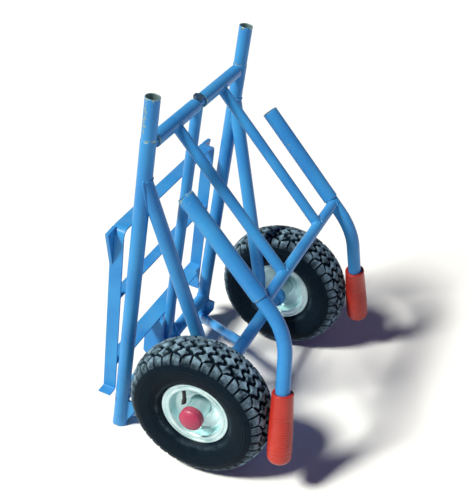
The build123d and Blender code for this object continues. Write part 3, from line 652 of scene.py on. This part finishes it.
# A closed bead: each ring is square to the path, and its radius is r (1 + ripple sin(phase) + a slower
# wobble), where the phase gains a whole turn with each pitch of the path's length.
def beadAlong(name, path, body):
    look = weldLook
    ahead = unit(np.roll(path, -1, axis=0) - np.roll(path, 1, axis=0))
    out = path - path.mean(axis=0)
    sideA = unit(out - ahead * (out * ahead).sum(axis=1, keepdims=True))
    length = np.linalg.norm(np.roll(path, -1, axis=0) - path, axis=1)
    waves = max(look["leastWaves"], round(length.sum() / look["ripplePitch"]))
    phase = np.cumsum(length) / length.sum() * waves * 2 * math.pi
    wobble = look["wobble"] * np.sin(phase * look["wobbleRate"] + look["wobbleStart"])
    size = look["radius"] * (1 + look["ripple"] * np.sin(phase) + wobble)
    points = ringRows(path, sideA, np.cross(ahead, sideA), size, look["columns"])
    gridPiece(name, points, body, "blue_paint", closedRows=True)


# The places of one ring about a line, as many as a bead has steps.
def ringAt(middle, run, radius):
    return turned(np.array(((0.0, radius),)), middle, run, weldLook["steps"])[0]


# Where a branch tube runs into a main tube, each given as a point, a direction and a radius: for each turn
# round the branch, the place along it that lies at the main tube's radius from the main line. A column that
# misses the main tube takes its nearest place to it, and none goes past the stop's y.
def weldRing(name, body, branch, main, stopAt=None):
    branchPoint, branchDir, branchR = branch
    mainPoint, mainDir, mainR = main
    start = ringAt(branchPoint, branchDir, branchR)
    away = start - mainPoint
    away = away - (away @ mainDir)[:, None] * mainDir
    run = branchDir - (branchDir @ mainDir) * mainDir
    a = run @ run
    b = away @ run
    c = (away * away).sum(axis=1) - (mainR - weldLook["sink"]) ** 2
    reach = (-b - np.sqrt(np.maximum(b * b - a * c, 0))) / a
    if stopAt is not None:
        reach = np.minimum(reach, (stopAt - start[:, 1]) / branchDir[1])
    path = start + reach[:, None] * branchDir
    beadAlong(name, path, body)
    return path


# An open thin bead from one place to another: the same ripples, with its ends drawn to a point.
def weldLine(name, body, start, end):
    look = weldLook
    share = np.linspace(0, 1, look["steps"])
    length = np.linalg.norm(end - start)
    ends = np.sqrt(np.clip(np.minimum(share, 1 - share) * length / (2 * look["thin"]), 0, 1))
    ripple = look["ripple"] * np.sin(2 * math.pi * share * length / look["ripplePitch"])
    size = look["thin"] * (ends * (1 + ripple) + look["tip"])
    path = start + share[:, None] * (end - start)
    gridPiece(name, ringRows(path, *squareTo(end - start), size, look["columns"]), body, "blue_paint")


# Beads up the edges of a flat's end: the end face's longest run gives their line, and its two sides give
# their places.
def slatWelds(node, name, hand):
    cloud = nodePoints(node)
    outer = cloud[:, 0] * hand
    end = cloud[outer > outer.max() - sameSpot]
    middle = end.mean(axis=0)
    rise = np.linalg.svd(end - middle)[2][0]
    depth = np.cross(rise, across)
    half = np.abs((end - middle) @ rise).max() - weldLook["thin"]
    thick = np.abs((end - middle) @ depth).max()
    for label, face in (("Front", -1), ("Rear", 1)):
        foot = middle + face * depth * thick
        weldLine(f"{name}{label}Weld", "toe", foot - rise * half, foot + rise * half)


# The tubes that are welded: a point, a direction and a radius, or the radius alone
barR = boxOf("hinge_bar")[1][2]
uprightR = boxOf("left_upright")[1][0]
railR = boxOf("centre_rail")[1][0]
armMiddle, armHalf = boxOf("left_arm")
handleR = track - nodePoints("left_handle_tube")[:, 0].min()
crossBarMiddle, crossBarHalf = boxOf("cross_bar")
crossBar = (crossBarMiddle, across, crossBarHalf[2])
toeTube = (toeHingePoint, across, boxOf("toe_hinge_tube")[1][2])
axleTube = (axlePoint, across, boxOf("axle_tube")[1][2])
hingeSleeve = (hingePoint, across, measureRound("left_hinge_sleeve", hingePoint, across)[3])

# Foot braces: a round tube from inside the foot to the underside of the axle tube. Row share u of each
# column lies at (1 - u) of its start and u of the place where the column meets the axle tube.
braceLook = {"footAlong": 0.015, "start": 0.006, "drop": 0.018, "radius": 0.0095, "rows": 24, "short": 0.004}


def makeBrace(side, hand):
    look = braceLook
    foot = floorPoint + across * hand * track + upDir * look["footAlong"]
    run = unit(axlePoint - np.array((0.0, 0.0, look["drop"])) - foot)
    stopAt = axlePoint[1] - look["short"]
    meet = weldRing(f"{side}BraceWeld", "frame", (foot, run, look["radius"]), axleTube, stopAt)
    first = ringAt(foot + run * look["start"], run, look["radius"])
    share = np.linspace(0, 1, look["rows"])[:, None, None]
    points = first * (1 - share) + meet * share
    gridPiece(f"{side}BraceTube", points, "frame", "blue_paint", f"{side}_foot_brace")


# Where the struts lie: their top below the hinge, their foot on the axle tube
strutLook = {"drop": 0.0605, "lowX": 0.124, "flatOut": -0.016, "radius": 0.0125}
aim = weldLook["aim"]          # how far back along a branch its ring starts
weldRing("railFootWeld", "frame", (toeHingePoint + upDir * aim, -upDir, railR), toeTube)
for side, hand in sides.items():
    outward = across * hand
    line = hingePoint + outward * track
    upright = (line, upDir, uprightR)
    handleTube = (line, armDir, handleR)
    armSpot = hingePoint + outward * armMiddle[0] + armDir * aim
    makeBrace(side, hand)
    weldRing(f"{side}HingeBarWeld", "frame", (hingePoint, outward, barR), upright)
    weldRing(f"{side}ToeTubeWeld", "frame", (toeHingePoint, outward, toeTube[2]), upright)
    weldRing(f"{side}ArmTopWeld", "handle", (armSpot, -armDir, armHalf[0]), hingeSleeve)
    weldRing(f"{side}ArmFootWeld", "handle", (armSpot, armDir, armHalf[0]), crossBar)
    weldRing(f"{side}CrossBarWeld", "handle", (crossBarMiddle, outward, crossBar[2]), handleTube)
    strutTop = line - upDir * strutLook["drop"]
    strutRun = unit(axlePoint + outward * strutLook["lowX"] + strutLook["flatOut"] * rearDir - strutTop)
    strut = (strutTop + strutRun * aim, -strutRun, strutLook["radius"])
    weldRing(f"{side}StrutWeld", "frame", strut, upright)
    collarX = np.abs(nodePoints(f"{side}_axle_collar")[:, 0]).min()
    beadAlong(f"{side}CollarWeld", ringAt(axlePoint + outward * collarX, across, axleTube[2]), "frame")
    slatWelds("upper_toe_slat", f"{side}UpperSlat", hand)
    slatWelds("lower_toe_slat", f"{side}LowerSlat", hand)
print("welds made")

# Tyres: a carcass with deep grooves, star-shaped blocks on the crown and ribs that run over the shoulders
tyreLook = {
    "around": 200, "across": 161, "arcSteps": 60, "lineStep": 0.0008, "linePoints": 400, "sharp": 38.0,
    "wallIn": 0.0005, "flangeIn": 0.002, "shoulderIn": 0.005, "shoulderDrop": 0.015, "buttressDrop": 0.010,
    "buttressOut": 0.0041, "ease": 0.006, "slotFrom": 0.0345, "slotTo": 0.0490, "seatDrop": 0.011,
    # on the wall a little dust, which leaves the groove floors darker as painted shade; near the bead a lighter
    # ring of painted bounce light
    "wallDustAndGrooveShade": 0.012, "beadPaintedBounce": 0.11, "beadSpread": 0.0035, "ringWidth": 0.0008,
    "rings": ((0.0590, 0.0011), (0.0640, 0.0006), (0.0770, 0.0007), (0.0915, 0.0013)),
    "pitches": 20, "rows": 6, "rowStep": 0.0094, "depth": 0.0050, "starAlong": 0.0106, "starAcross": 0.0079,
    "tip": 0.13, "waist": 0.42, "draft": 1.12, "topShare": 0.92, "edgeDrop": 0.0006, "root": 0.0008,
    "edgeWornAndLit": 0.8, "slot": 0.0040, "ribRows": 10, "ribMiddle": 0.0298, "ribSlant": 0.0031, "ribEnd": 0.0510,
    "ribSpread": (-1.10, -1.0, -0.90, -0.3, 0.3, 0.90, 1.0, 1.10),
    "ribWornAndSheen": (0, 0.6, 0.9, 0.9, 0.9, 0.9, 0.6, 0), "ribHead": (0.0, 0.06), "ribFoot": (0.85, 1.0),
    "ribWearAndSheenFade": 0.75, "ribFadeSpan": (0.1, 0.8),
}


# Points on the arc that runs from the first through the middle to the last point.
def threePointArc(first, middle, last, steps):
    matrix = 2 * np.array((middle - first, last - first))
    squares = np.array((middle @ middle - first @ first, last @ last - first @ first))
    centre = np.linalg.solve(matrix, squares)
    radius = np.linalg.norm(first - centre)
    startAngle, endAngle = (math.atan2(*(point - centre)[::-1]) for point in (first, last))
    angle = np.linspace(startAngle, endAngle, steps)
    return centre + radius * np.stack((np.cos(angle), np.sin(angle)), -1)


# The length of a line from its first point to each of its points.
def lengthAlong(line):
    return np.concatenate(((0.0,), np.cumsum(np.linalg.norm(np.diff(line, axis=0), axis=1))))


# The tyre's outside as a line of (x, r) points from the middle of the crown: an arc to the shoulder, a
# straight buttress below it, and an arc over the bulge to the rim flange, with the corners between them eased
# by a running mean.
def tyreOutside(tyreR, halfWidth, flangeX, flangeR):
    look = tyreLook
    steps = look["arcSteps"]
    shoulder = np.array((halfWidth - look["shoulderIn"], tyreR - look["shoulderDrop"]))
    buttress = shoulder + (look["buttressOut"], -look["buttressDrop"])
    bulge = np.array((halfWidth, (flangeR + shoulder[1]) / 2))
    crown = threePointArc(shoulder * (-1, 1), np.array((0.0, tyreR)), shoulder, 2 * steps + 1)[steps:]
    wall = threePointArc(buttress, bulge, np.array((flangeX, flangeR)), steps)
    line = fillRows(np.vstack((crown, wall)), look["lineStep"])
    length = lengthAlong(line)
    even = np.linspace(0, length[-1], look["linePoints"])
    line = np.stack([np.interp(even, length, line[:, k]) for k in range(2)], -1)
    reach = round(look["ease"] / even[1])
    padded = np.vstack((line[reach:0:-1] * (-1, 1), line, 2 * line[-1] - line[-2:-reach - 2:-1]))
    weight = np.hanning(2 * reach + 3)[1:-1]
    eased = np.stack([np.convolve(padded[:, k], weight / weight.sum(), "valid") for k in range(2)], -1)
    eased[:, 1] += tyreR - eased[0, 1]
    return eased


# A skin point for (angle, sideways, height): sideways is the distance from the crown along the outside,
# signed by side, and height is along the outside's normal, 0 on the blocks' tops.
class TyreSkin:
    def __init__(self, middle, outside):
        self.middle = middle
        self.line = outside
        self.length = lengthAlong(outside)
        tangent = np.gradient(outside, self.length, axis=0)
        self.normal = unit(np.stack((-tangent[:, 1], tangent[:, 0]), -1))

    def at(self, angle, sideways, height):
        far = np.abs(sideways)
        sign = np.where(sideways < 0, -1.0, 1.0)
        lineX, lineR = (np.interp(far, self.length, self.line[:, k]) for k in range(2))
        normalX, normalR = (np.interp(far, self.length, self.normal[:, k]) for k in range(2))
        x = sign * (lineX + height * normalX)
        r = lineR + height * normalR
        return self.middle + np.stack(np.broadcast_arrays(x, r * np.cos(angle), r * np.sin(angle)), -1)


# Carcass: height -depth under the tread, rising to the wall where the slots run out, with thin raised rings
# on the wall. The grid closes behind the beads. It gives corners, groups of faces and worn values, as do the
# two parts below.
def tyreCarcass(skin):
    look = tyreLook
    sideways = np.linspace(-skin.length[-1], skin.length[-1], look["across"])
    far = np.abs(sideways)
    onWall = smooth(far, look["slotFrom"], look["slotTo"])
    height = -look["depth"] * (1 - onWall)
    for ringPlace, ringHeight in look["rings"]:
        height = height + ringHeight * bell(far, ringPlace, look["ringWidth"])
    turn = turns(look["around"])
    shell = skin.at(turn[None, :], sideways[:, None], height[:, None])
    seatX, seatR = skin.line[-1] - (0, look["seatDrop"])
    ends = np.array((seatX, -seatX))[:, None]
    base = skin.middle + np.stack(np.broadcast_arrays(ends, seatR * np.cos(turn), seatR * np.sin(turn)), -1)
    grid = np.concatenate((shell, base))
    # worn: a little dust on the wall, none on the groove floors, which stay darker as painted shade, and a lighter
    # ring near the bead that is painted bounce light
    beadPaintedBounce = look["beadPaintedBounce"] * bell(far, look["rings"][-1][0], look["beadSpread"])
    worn = np.concatenate((look["wallDustAndGrooveShade"] * onWall + beadPaintedBounce, (0, 0)))
    faces = gridFaces(grid.shape[0], grid.shape[1], True)
    return grid.reshape(-1, 3), [faces], np.repeat(worn, grid.shape[1])


# Star blocks: a four-pointed star with cut tips and drawn-in sides, on rows staggered by half a pitch. Each
# has rings at the root, the edge and the top, and a middle point on the top.
def starBlocks(skin, hand, tyreR):
    look = tyreLook
    tip, waist = look["tip"], look["waist"]
    quarter = np.array(((1.0, tip), (waist, waist), (tip, 1.0)))
    quarterTurns = ((1, 0), (0, 1), (-1, 0), (0, -1))          # cosine and sine
    star = np.concatenate([quarter @ np.array(((c, s), (-s, c))) for c, s in quarterTurns])
    points = len(star)
    rowIndex, pitchIndex = np.meshgrid(np.arange(look["rows"]), np.arange(look["pitches"]), indexing="ij")
    middleAngle = 2 * math.pi * (pitchIndex + 0.5 * (rowIndex % 2)).ravel() / look["pitches"]
    middleAcross = hand * (rowIndex.ravel() - (look["rows"] - 1) / 2) * look["rowStep"]
    count = len(middleAngle)
    scale = np.array((look["draft"], 1.0, look["topShare"]))[None, :, None]
    height = np.array((-look["depth"] - look["root"], -look["edgeDrop"], 0.0))[None, :, None]
    angle = middleAngle[:, None, None] + scale * star[:, 0] * look["starAlong"] / tyreR
    sideways = middleAcross[:, None, None] + scale * star[:, 1] * look["starAcross"]
    rings = skin.at(angle, sideways, height).reshape(count, -1, 3)
    tops = skin.at(middleAngle, middleAcross, np.zeros(count))
    corners = np.concatenate((rings, tops[:, None]), axis=1)
    ring = np.arange(points)
    fans = np.stack((2 * points + ring, 2 * points + np.roll(ring, -1), np.full(points, 3 * points)), -1)
    starts = np.arange(count)[:, None, None] * corners.shape[1]
    groups = (gridFaces(3, points, False), fans, ring[None, ::-1])
    faces = [(starts + group).reshape(-1, group.shape[1]) for group in groups]
    # worn: none at the root, most on the top, which is partly wear and dust, partly painted light on the block
    # tops
    worn = np.concatenate((np.zeros(points), np.full(points, look["edgeWornAndLit"]), np.ones(points + 1)))
    return corners.reshape(-1, 3), faces, np.tile(worn, count)


# Shoulder ribs, two to a pitch on each side: each fills the space between two slots. Its upper end slants,
# lower beside the tip of a star, and its lower end sinks into the wall.
def shoulderRibs(skin, hand, tyreR):
    look = tyreLook
    ribs = 2 * look["pitches"]
    flank = np.repeat((1, -1), ribs)
    index = np.tile(np.arange(ribs), 2)
    starAfter = np.where((index % 2 == 0) == (flank == hand), 1, -1)
    step = math.pi / look["pitches"]
    halfTurn = step / 2 - look["slot"] / 2 / (tyreR - look["shoulderDrop"] / 2)
    spread = np.array(look["ribSpread"])
    deep, edge = -look["depth"] - look["root"], -look["edgeDrop"]
    lift = np.array((deep, edge, 0, 0, 0, 0, edge, deep))
    along = np.linspace(0, 1, look["ribRows"])
    begin = look["ribMiddle"] + look["ribSlant"] * starAfter[:, None] * np.clip(spread, -1, 1)
    far = begin[:, None, :] + (look["ribEnd"] - begin[:, None, :]) * along[:, None]
    sink = look["edgeDrop"] * (smooth(along, *look["ribFoot"]) + (1 - smooth(along, *look["ribHead"])))
    angle = (index + 0.5)[:, None, None] * step + spread * halfTurn
    corners = skin.at(angle, flank[:, None, None] * far, lift - sink[:, None])
    count, rows, columns = corners.shape[:3]
    ends = np.stack((np.arange(columns)[::-1], (rows - 1) * columns + np.arange(columns)))
    faces = []
    for group in (gridFaces(rows, columns, False), ends):
        placed = np.arange(count)[:, None, None] * rows * columns + group
        placed = np.where((flank < 0)[:, None, None], placed[..., ::-1], placed)
        faces.append(placed.reshape(-1, group.shape[1]))
    # worn on the rib's top, fading towards its lower end: partly wear and dust, partly painted sheen that is
    # lighter towards the crown
    fade = 1 - look["ribWearAndSheenFade"] * smooth(along, *look["ribFadeSpan"])
    return corners.reshape(-1, 3), faces, np.tile(np.outer(fade, look["ribWornAndSheen"]).ravel(), count)


# The three parts joined in one mesh, with edges above the sharp angle kept as creases.
def makeTyre(side, hand):
    look = tyreLook
    boxHalf = boxOf(f"{side}_tyre")[1]
    rimMiddle, rimHalf = boxOf(f"{side}_rim_outer")
    middle = wheelMiddles[side]
    tyreR = boxHalf[2]
    flangeX = abs(rimMiddle[0] - middle[0]) + rimHalf[0] - look["flangeIn"]
    skin = TyreSkin(middle, tyreOutside(tyreR, boxHalf[0] - look["wallIn"], flangeX, rimHalf[2]))
    parts = (tyreCarcass(skin), starBlocks(skin, hand, tyreR), shoulderRibs(skin, hand, tyreR))
    faces = []
    count = 0
    for corners, groups, _ in parts:
        for group in groups:
            faces += (group + count).tolist()
        count += len(corners)
    corners = np.vstack([part[0] for part in parts])
    worn = np.concatenate([part[2] for part in parts])
    piece = newPiece(f"{side}TreadTyre", corners, faces, slotMaterials["tyre_rubber"], worn=worn)
    piece.data.set_sharp_from_angle(angle=math.radians(look["sharp"]))
    place(piece, f"{side}_wheel", "tyre_rubber", f"{side}_tyre")


for side, hand in sides.items():
    makeTyre(side, hand)
print("tyres made")

# Rims: two pressed halves with a rolled flange, a rounded barrel and a dish down to the hub
rimLook = {
    "columns": 128, "sheet": 0.002, "dishDepth": 0.022, "dishR": 0.040, "dishRound": 0.002, "clampR": 0.028,
    "clampRound": 0.006, "clampGap": 0.0002, "rowStep": 0.003, "taper": 0.0035, "roll": 0.0042,
    "floorRound": 0.007, "edgeRoll": 0.0016, "lipRound": 0.0006, "grooveIn": 0.0058, "groove": 0.0018,
    "grooveDepth": 0.0015, "grooveEase": 0.0007, "arcSteps": 9,
}


# The pressed section as a closed outline of (outward, radius), turned about the axle.
def makeRim(side, hand, half, out):
    look = rimLook
    node = f"{side}_rim_{half}"
    middle = wheelMiddles[side]
    axis = across * hand * out
    reach, distance = aboutLine(nodePoints(node), middle, axis)
    outer, hubR, flangeR = reach.max(), distance.min(), distance.max()
    sheet, gap, dishR, clampR = look["sheet"], look["clampGap"], look["dishR"], look["clampR"]
    seat = outer - sheet
    barrelR = distance[np.abs(reach - seat) < sameSpot].min()
    floorX = outer - look["dishDepth"]
    floorR = barrelR - look["taper"]
    grooveR = flangeR - look["grooveIn"]
    corners = [
        (gap, hubR), (gap, clampR), (floorX - sheet, dishR), (floorX, floorR),
        (seat, barrelR), (seat, flangeR), (outer, flangeR), (outer, grooveR + look["groove"]),
        (outer - look["grooveDepth"], grooveR), (outer, grooveR - look["groove"]), (outer, barrelR - sheet),
        (floorX + sheet, floorR - sheet), (floorX, dishR - sheet), (sheet, clampR - sheet), (sheet, hubR),
    ]
    radii = [
        0, look["clampRound"], look["dishRound"], look["floorRound"] + sheet, look["roll"] - sheet,
        look["lipRound"], look["edgeRoll"], *[look["grooveEase"]] * 3, look["roll"], look["floorRound"],
        look["dishRound"], look["clampRound"], 0,
    ]
    outline = roundCorners(corners, radii, closed=True, steps=look["arcSteps"])
    outline = fillRows(outline, look["rowStep"], closed=True)
    points = turned(outline, middle, axis, look["columns"])
    gridPiece(f"{side}{half.capitalize()}Rim", points, f"{side}_wheel", "zinc_plate", node, closedRows=True)


for side, hand in sides.items():
    for half, out in (("outer", 1), ("inner", -1)):
        makeRim(side, hand, half, out)

# Valve stems: a rubber stem with a swollen root, and a ribbed cap
valveLook = {
    "angle": 120.0, "slant": 24.0, "columns": 32, "rowStep": 0.001, "stemIn": 0.0004, "neckIn": 0.0006,
    "rootEnd": 0.003, "neckStart": 0.006, "capLength": 0.009, "capRibs": 16, "ribDepth": 0.0002,
    "ribFrom": 0.001, "ribTo": 0.0015, "tipR": 0.0006, "bend": 0.008,
    "rounds": (0, 0.001, 0.001, 0.0002, 0.0005, 0.0012, 0),
}


# An outline of (along, radius) turned about the stem, with the cap's radius going in and out round the turn.
# The soft stem is bent to one side: each ring moves by bend (share of the length)^2.
def makeValve(side, hand):
    look = valveLook
    node = f"{side}_valve_stem"
    turn, slant = math.radians(look["angle"]), math.radians(look["slant"])
    radial = np.array((0.0, math.cos(turn), math.sin(turn)))
    axis = across * hand * math.sin(slant) - radial * math.cos(slant)
    cloud = nodePoints(node)
    tip = cloud[(cloud @ axis) > (cloud @ axis).max() - sameSpot].mean(axis=0)
    start, end, _, capR = measureRound(node, tip, axis)
    stemR = capR - look["stemIn"]
    neckR = stemR - look["neckIn"]
    capStart = end - look["capLength"]
    corners = [(start, stemR), (start + look["rootEnd"], stemR), (start + look["neckStart"], neckR),
               (capStart, neckR), (capStart, capR), (end, capR), (end, look["tipR"])]
    outline = fillRows(roundCorners(corners, look["rounds"]), look["rowStep"])
    along = outline[:, 0]
    points = turned(outline, tip, axis, look["columns"])
    onCap = ((along > capStart + look["ribFrom"]) & (along < end - look["ribTo"]))[:, None, None]
    wave = 0.5 - 0.5 * np.cos(look["capRibs"] * turns(look["columns"]))
    inward = unit((tip + outline[:, :1] * axis)[:, None, :] - points)
    points = points + onCap * inward * (look["ribDepth"] * wave)[None, :, None]
    aside = np.array((0.0, -math.sin(turn), math.cos(turn)))
    share = (along - start) / (end - start)
    points = points + (look["bend"] * share ** 2)[:, None, None] * aside
    gridPiece(f"{side}ValveStem", points, f"{side}_wheel", "black_rubber", node)


for side, hand in sides.items():
    makeValve(side, hand)

# Hub caps: a skirt, a rounded brow and a low dome with a moulded ring
capLook = {
    "columns": 96, "rowStep": 0.003, "domeHeight": 0.009, "domeRows": 28, "poleR": 0.0004,
    "browDrop": 0.00077, "browWidth": 0.00088, "ringPlace": 0.78, "ringWidth": 0.03, "ringHeight": 0.0003,
    "skirtIn": 0.0005, "skirtRise": 0.0006, "skirtTop": 0.001, "boreTop": 0.004,
}


# The dome is part of a ball: along = end - ballR + the root of (ballR^2 - radius^2), less a fall at the brow
# and a groove at the ring. The outline runs from inside the skirt, round its edge and over the dome.
def makeCap(side, hand):
    look = capLook
    node = f"{side}_hub_cap"
    middle = wheelMiddles[side]
    axis = across * hand
    start, end, _, capR = measureRound(node, middle, axis)
    hubR = measureRound(f"{side}_hub", middle, axis)[3]
    brow = end - look["domeHeight"]
    ballR = (capR ** 2 + look["domeHeight"] ** 2) / (2 * look["domeHeight"])
    radius = np.linspace(capR, look["poleR"], look["domeRows"])
    dome = end - ballR + np.sqrt(ballR ** 2 - radius ** 2)
    dome = dome - look["browDrop"] * np.exp(-(capR - radius) / look["browWidth"])
    dome = dome - look["ringHeight"] * bell(radius / capR, look["ringPlace"], look["ringWidth"])
    skirt = ((start, capR - look["skirtIn"]), (start + look["skirtRise"], capR))
    skirtEnd = (brow - look["skirtTop"], capR)
    outside = fillRows(np.vstack((*skirt, skirtEnd, np.stack((dome, radius), -1))), look["rowStep"])
    outline = np.vstack(((brow - look["boreTop"], hubR), (start, hubR), outside))
    points = turned(outline, middle, axis, look["columns"])
    gridPiece(f"{side}DomeCap", points, f"{side}_wheel", "red_cap", node)


for side, hand in sides.items():
    makeCap(side, hand)
print("rims and caps made")

# Grips: a flat mouth, a smooth neck, fine ribs below a raised band, two bands near the end and a rounded end
gripLook = {
    "columns": 96, "rows": 300, "lip": 0.0010, "taperLength": 0.078, "topR": 0.0185, "endRound": 0.013,
    "ribFrom": 0.044, "ribTo": 0.098, "ribEase": 0.003, "ribPitch": 0.0046, "ribDepth": 0.0007,
    "bands": (0.041, 0.1015, 0.1085), "bandWidth": 0.0011, "bandRise": 0.0005,
    "boreDepth": 0.012, "boreGap": 0.0001, "mouthIn": 0.0008, "mouthOut": 0.0006, "ringBand": 0.008,
    "wornFade": 0.02, "wornEnd": 0.7,
}


# The line of a handle tube's end: its end ring's middle, and the direction square to the ring, pointing down.
def tubeEnd(node):
    cloud = nodePoints(node)
    lowEnd = cloud[cloud[:, 2] < cloud[:, 2].min() + gripLook["ringBand"]]
    ring = np.unique(np.round(lowEnd, 6), axis=0)          # corners that share a place count once
    middle = (ring.max(axis=0) + ring.min(axis=0)) / 2
    axis = np.linalg.svd(ring - ring.mean(axis=0))[2][2]
    return middle, axis * -np.sign(axis[2])


# Radius by length: a straight taper, then an even width, less the grooves between the ribs, plus the bands,
# and at the mouth and the end a quarter circle.
def makeGrip(side):
    look = gripLook
    node = f"{side}_grip"
    start, axis = tubeEnd(f"{side}_handle_tube")
    low, high, _, bottomR = measureRound(node, start, axis)
    length = high - low
    s = np.linspace(0, length, look["rows"])
    widening = bottomR - look["bandRise"] - look["topR"]
    body = look["topR"] + widening * np.clip(s / look["taperLength"], 0, 1)
    inRibs = smooth(np.minimum(s - look["ribFrom"], look["ribTo"] - s), 0, look["ribEase"])
    groove = 0.5 - 0.5 * np.cos(2 * math.pi * (s - look["ribFrom"]) / look["ribPitch"])
    body = body - inRibs * look["ribDepth"] * groove ** 2
    for bandAt in look["bands"]:
        body = body + look["bandRise"] * bell(s, bandAt, look["bandWidth"])
    body = body - roundOff((s - (length - look["endRound"])) / look["endRound"], look["endRound"])
    body = body - roundOff(1 - s / look["lip"], look["lip"])
    boreR = handleR + look["boreGap"]
    inside = ((look["boreDepth"], boreR), (look["mouthIn"], boreR), (0.0, boreR + look["mouthOut"]))
    outline = np.vstack((*inside, np.stack((s, body), -1)))
    points = turned(outline, start + axis * low, axis, look["columns"])
    worn = look["wornEnd"] * np.exp(-(length - outline[:, 0]) / look["wornFade"])
    gridPiece(f"{side}RibbedGrip", points, "handle", "red_grip", node, worn=worn[:, None])


for side in sides:
    makeGrip(side)
print("grips made")

# Floor, just below the feet, in two pale tones that hardly differ
floorLook = {
    "half": 30.0, "drop": 0.0004, "tones": ((0.86, 0.86, 0.865, 1), (0.885, 0.885, 0.885, 1)),
    "cloudScale": 1.2, "cloudDetail": 2.0, "values": {"Roughness": 0.85},
}


def makeFloor():
    look = floorLook
    material, tree, shader = newMaterial("paleFloor")
    cloudy = noise(tree, look["cloudScale"], look["cloudDetail"])
    wire(tree, shader, {"Base Color": mixColour(tree, cloudy, *look["tones"])}, values=look["values"])
    square = np.array(((-1, -1, 0), (1, -1, 0), (1, 1, 0), (-1, 1, 0)))
    floor = newPiece("floor", look["half"] * square - (0, 0, look["drop"]), [(0, 1, 2, 3)], material)


makeFloor()

# Camera at the photo's place and angle, in metres and degrees
cameraLook = {
    "place": (1.2935, 0.5571, 1.1996), "azimuth": 113.54, "elevation": 31.80, "roll": -0.28,
    "focalPixels": 916.3, "imageHeight": 500.0,
}


def makeCamera():
    look = cameraLook
    turn, tilt = math.radians(look["azimuth"]), math.radians(look["elevation"])
    # back points from the truck to the camera, by its azimuth and its elevation
    back = np.array((math.sin(turn) * math.cos(tilt), -math.cos(turn) * math.cos(tilt), math.sin(tilt)))
    right = unit(np.cross((0, 0, 1), back))
    up = np.cross(back, right)
    roll = math.radians(look["roll"])
    rolledRight = math.cos(roll) * right + math.sin(roll) * up
    rolledUp = -math.sin(roll) * right + math.cos(roll) * up
    data = bpy.data.cameras.new("photoCamera")
    data.lens = look["focalPixels"] / look["imageHeight"] * data.sensor_width
    camera = bpy.data.objects.new("photoCamera", data)
    turnMatrix = Matrix(np.stack((rolledRight, rolledUp, back), -1).tolist()).to_4x4()
    camera.matrix_world = Matrix.Translation(look["place"]) @ turnMatrix
    bpy.context.scene.collection.objects.link(camera)
    bpy.context.scene.camera = camera
    return right, back


imageRight, imageBack = makeCamera()

# Lights: how far each stands to the photo's left, towards the camera and up from the truck, and the sky
lightLook = {
    "key": {
        "left": 0.891, "near": 0.454, "up": 1.25, "angle": 12.0, "power": 4.8, "colour": (1.0, 0.995, 0.90),
    },
    "fill": {
        "left": -0.9, "near": 0.35, "up": 0.35, "angle": 70.0, "power": 0.28, "colour": (0.36, 0.14, 1.0),
    },
    "sky": {"Color": (0.70, 0.72, 0.95, 1), "Strength": 0.07},
}


def makeLight(name, look):
    ground = unit(imageBack * (1, 1, 0))
    spot = -imageRight * look["left"] + ground * look["near"] + np.array((0, 0, look["up"]))
    data = bpy.data.lights.new(name, "SUN")
    data.angle = math.radians(look["angle"])
    data.energy = look["power"]
    data.color = look["colour"]
    light = bpy.data.objects.new(name, data)
    light.location = spot
    light.rotation_mode = "QUATERNION"
    light.rotation_quaternion = Vector(-spot).to_track_quat("-Z", "Y")
    bpy.context.scene.collection.objects.link(light)


makeLight("keyLight", lightLook["key"])
makeLight("fillLight", lightLook["fill"])
world = bpy.data.worlds.new("studio")
world.use_nodes = True
for key, value in lightLook["sky"].items():
    world.node_tree.nodes["Background"].inputs[key].default_value = value
bpy.context.scene.world = world
bpy.context.scene.view_settings.view_transform = "Standard"
print("stage made")
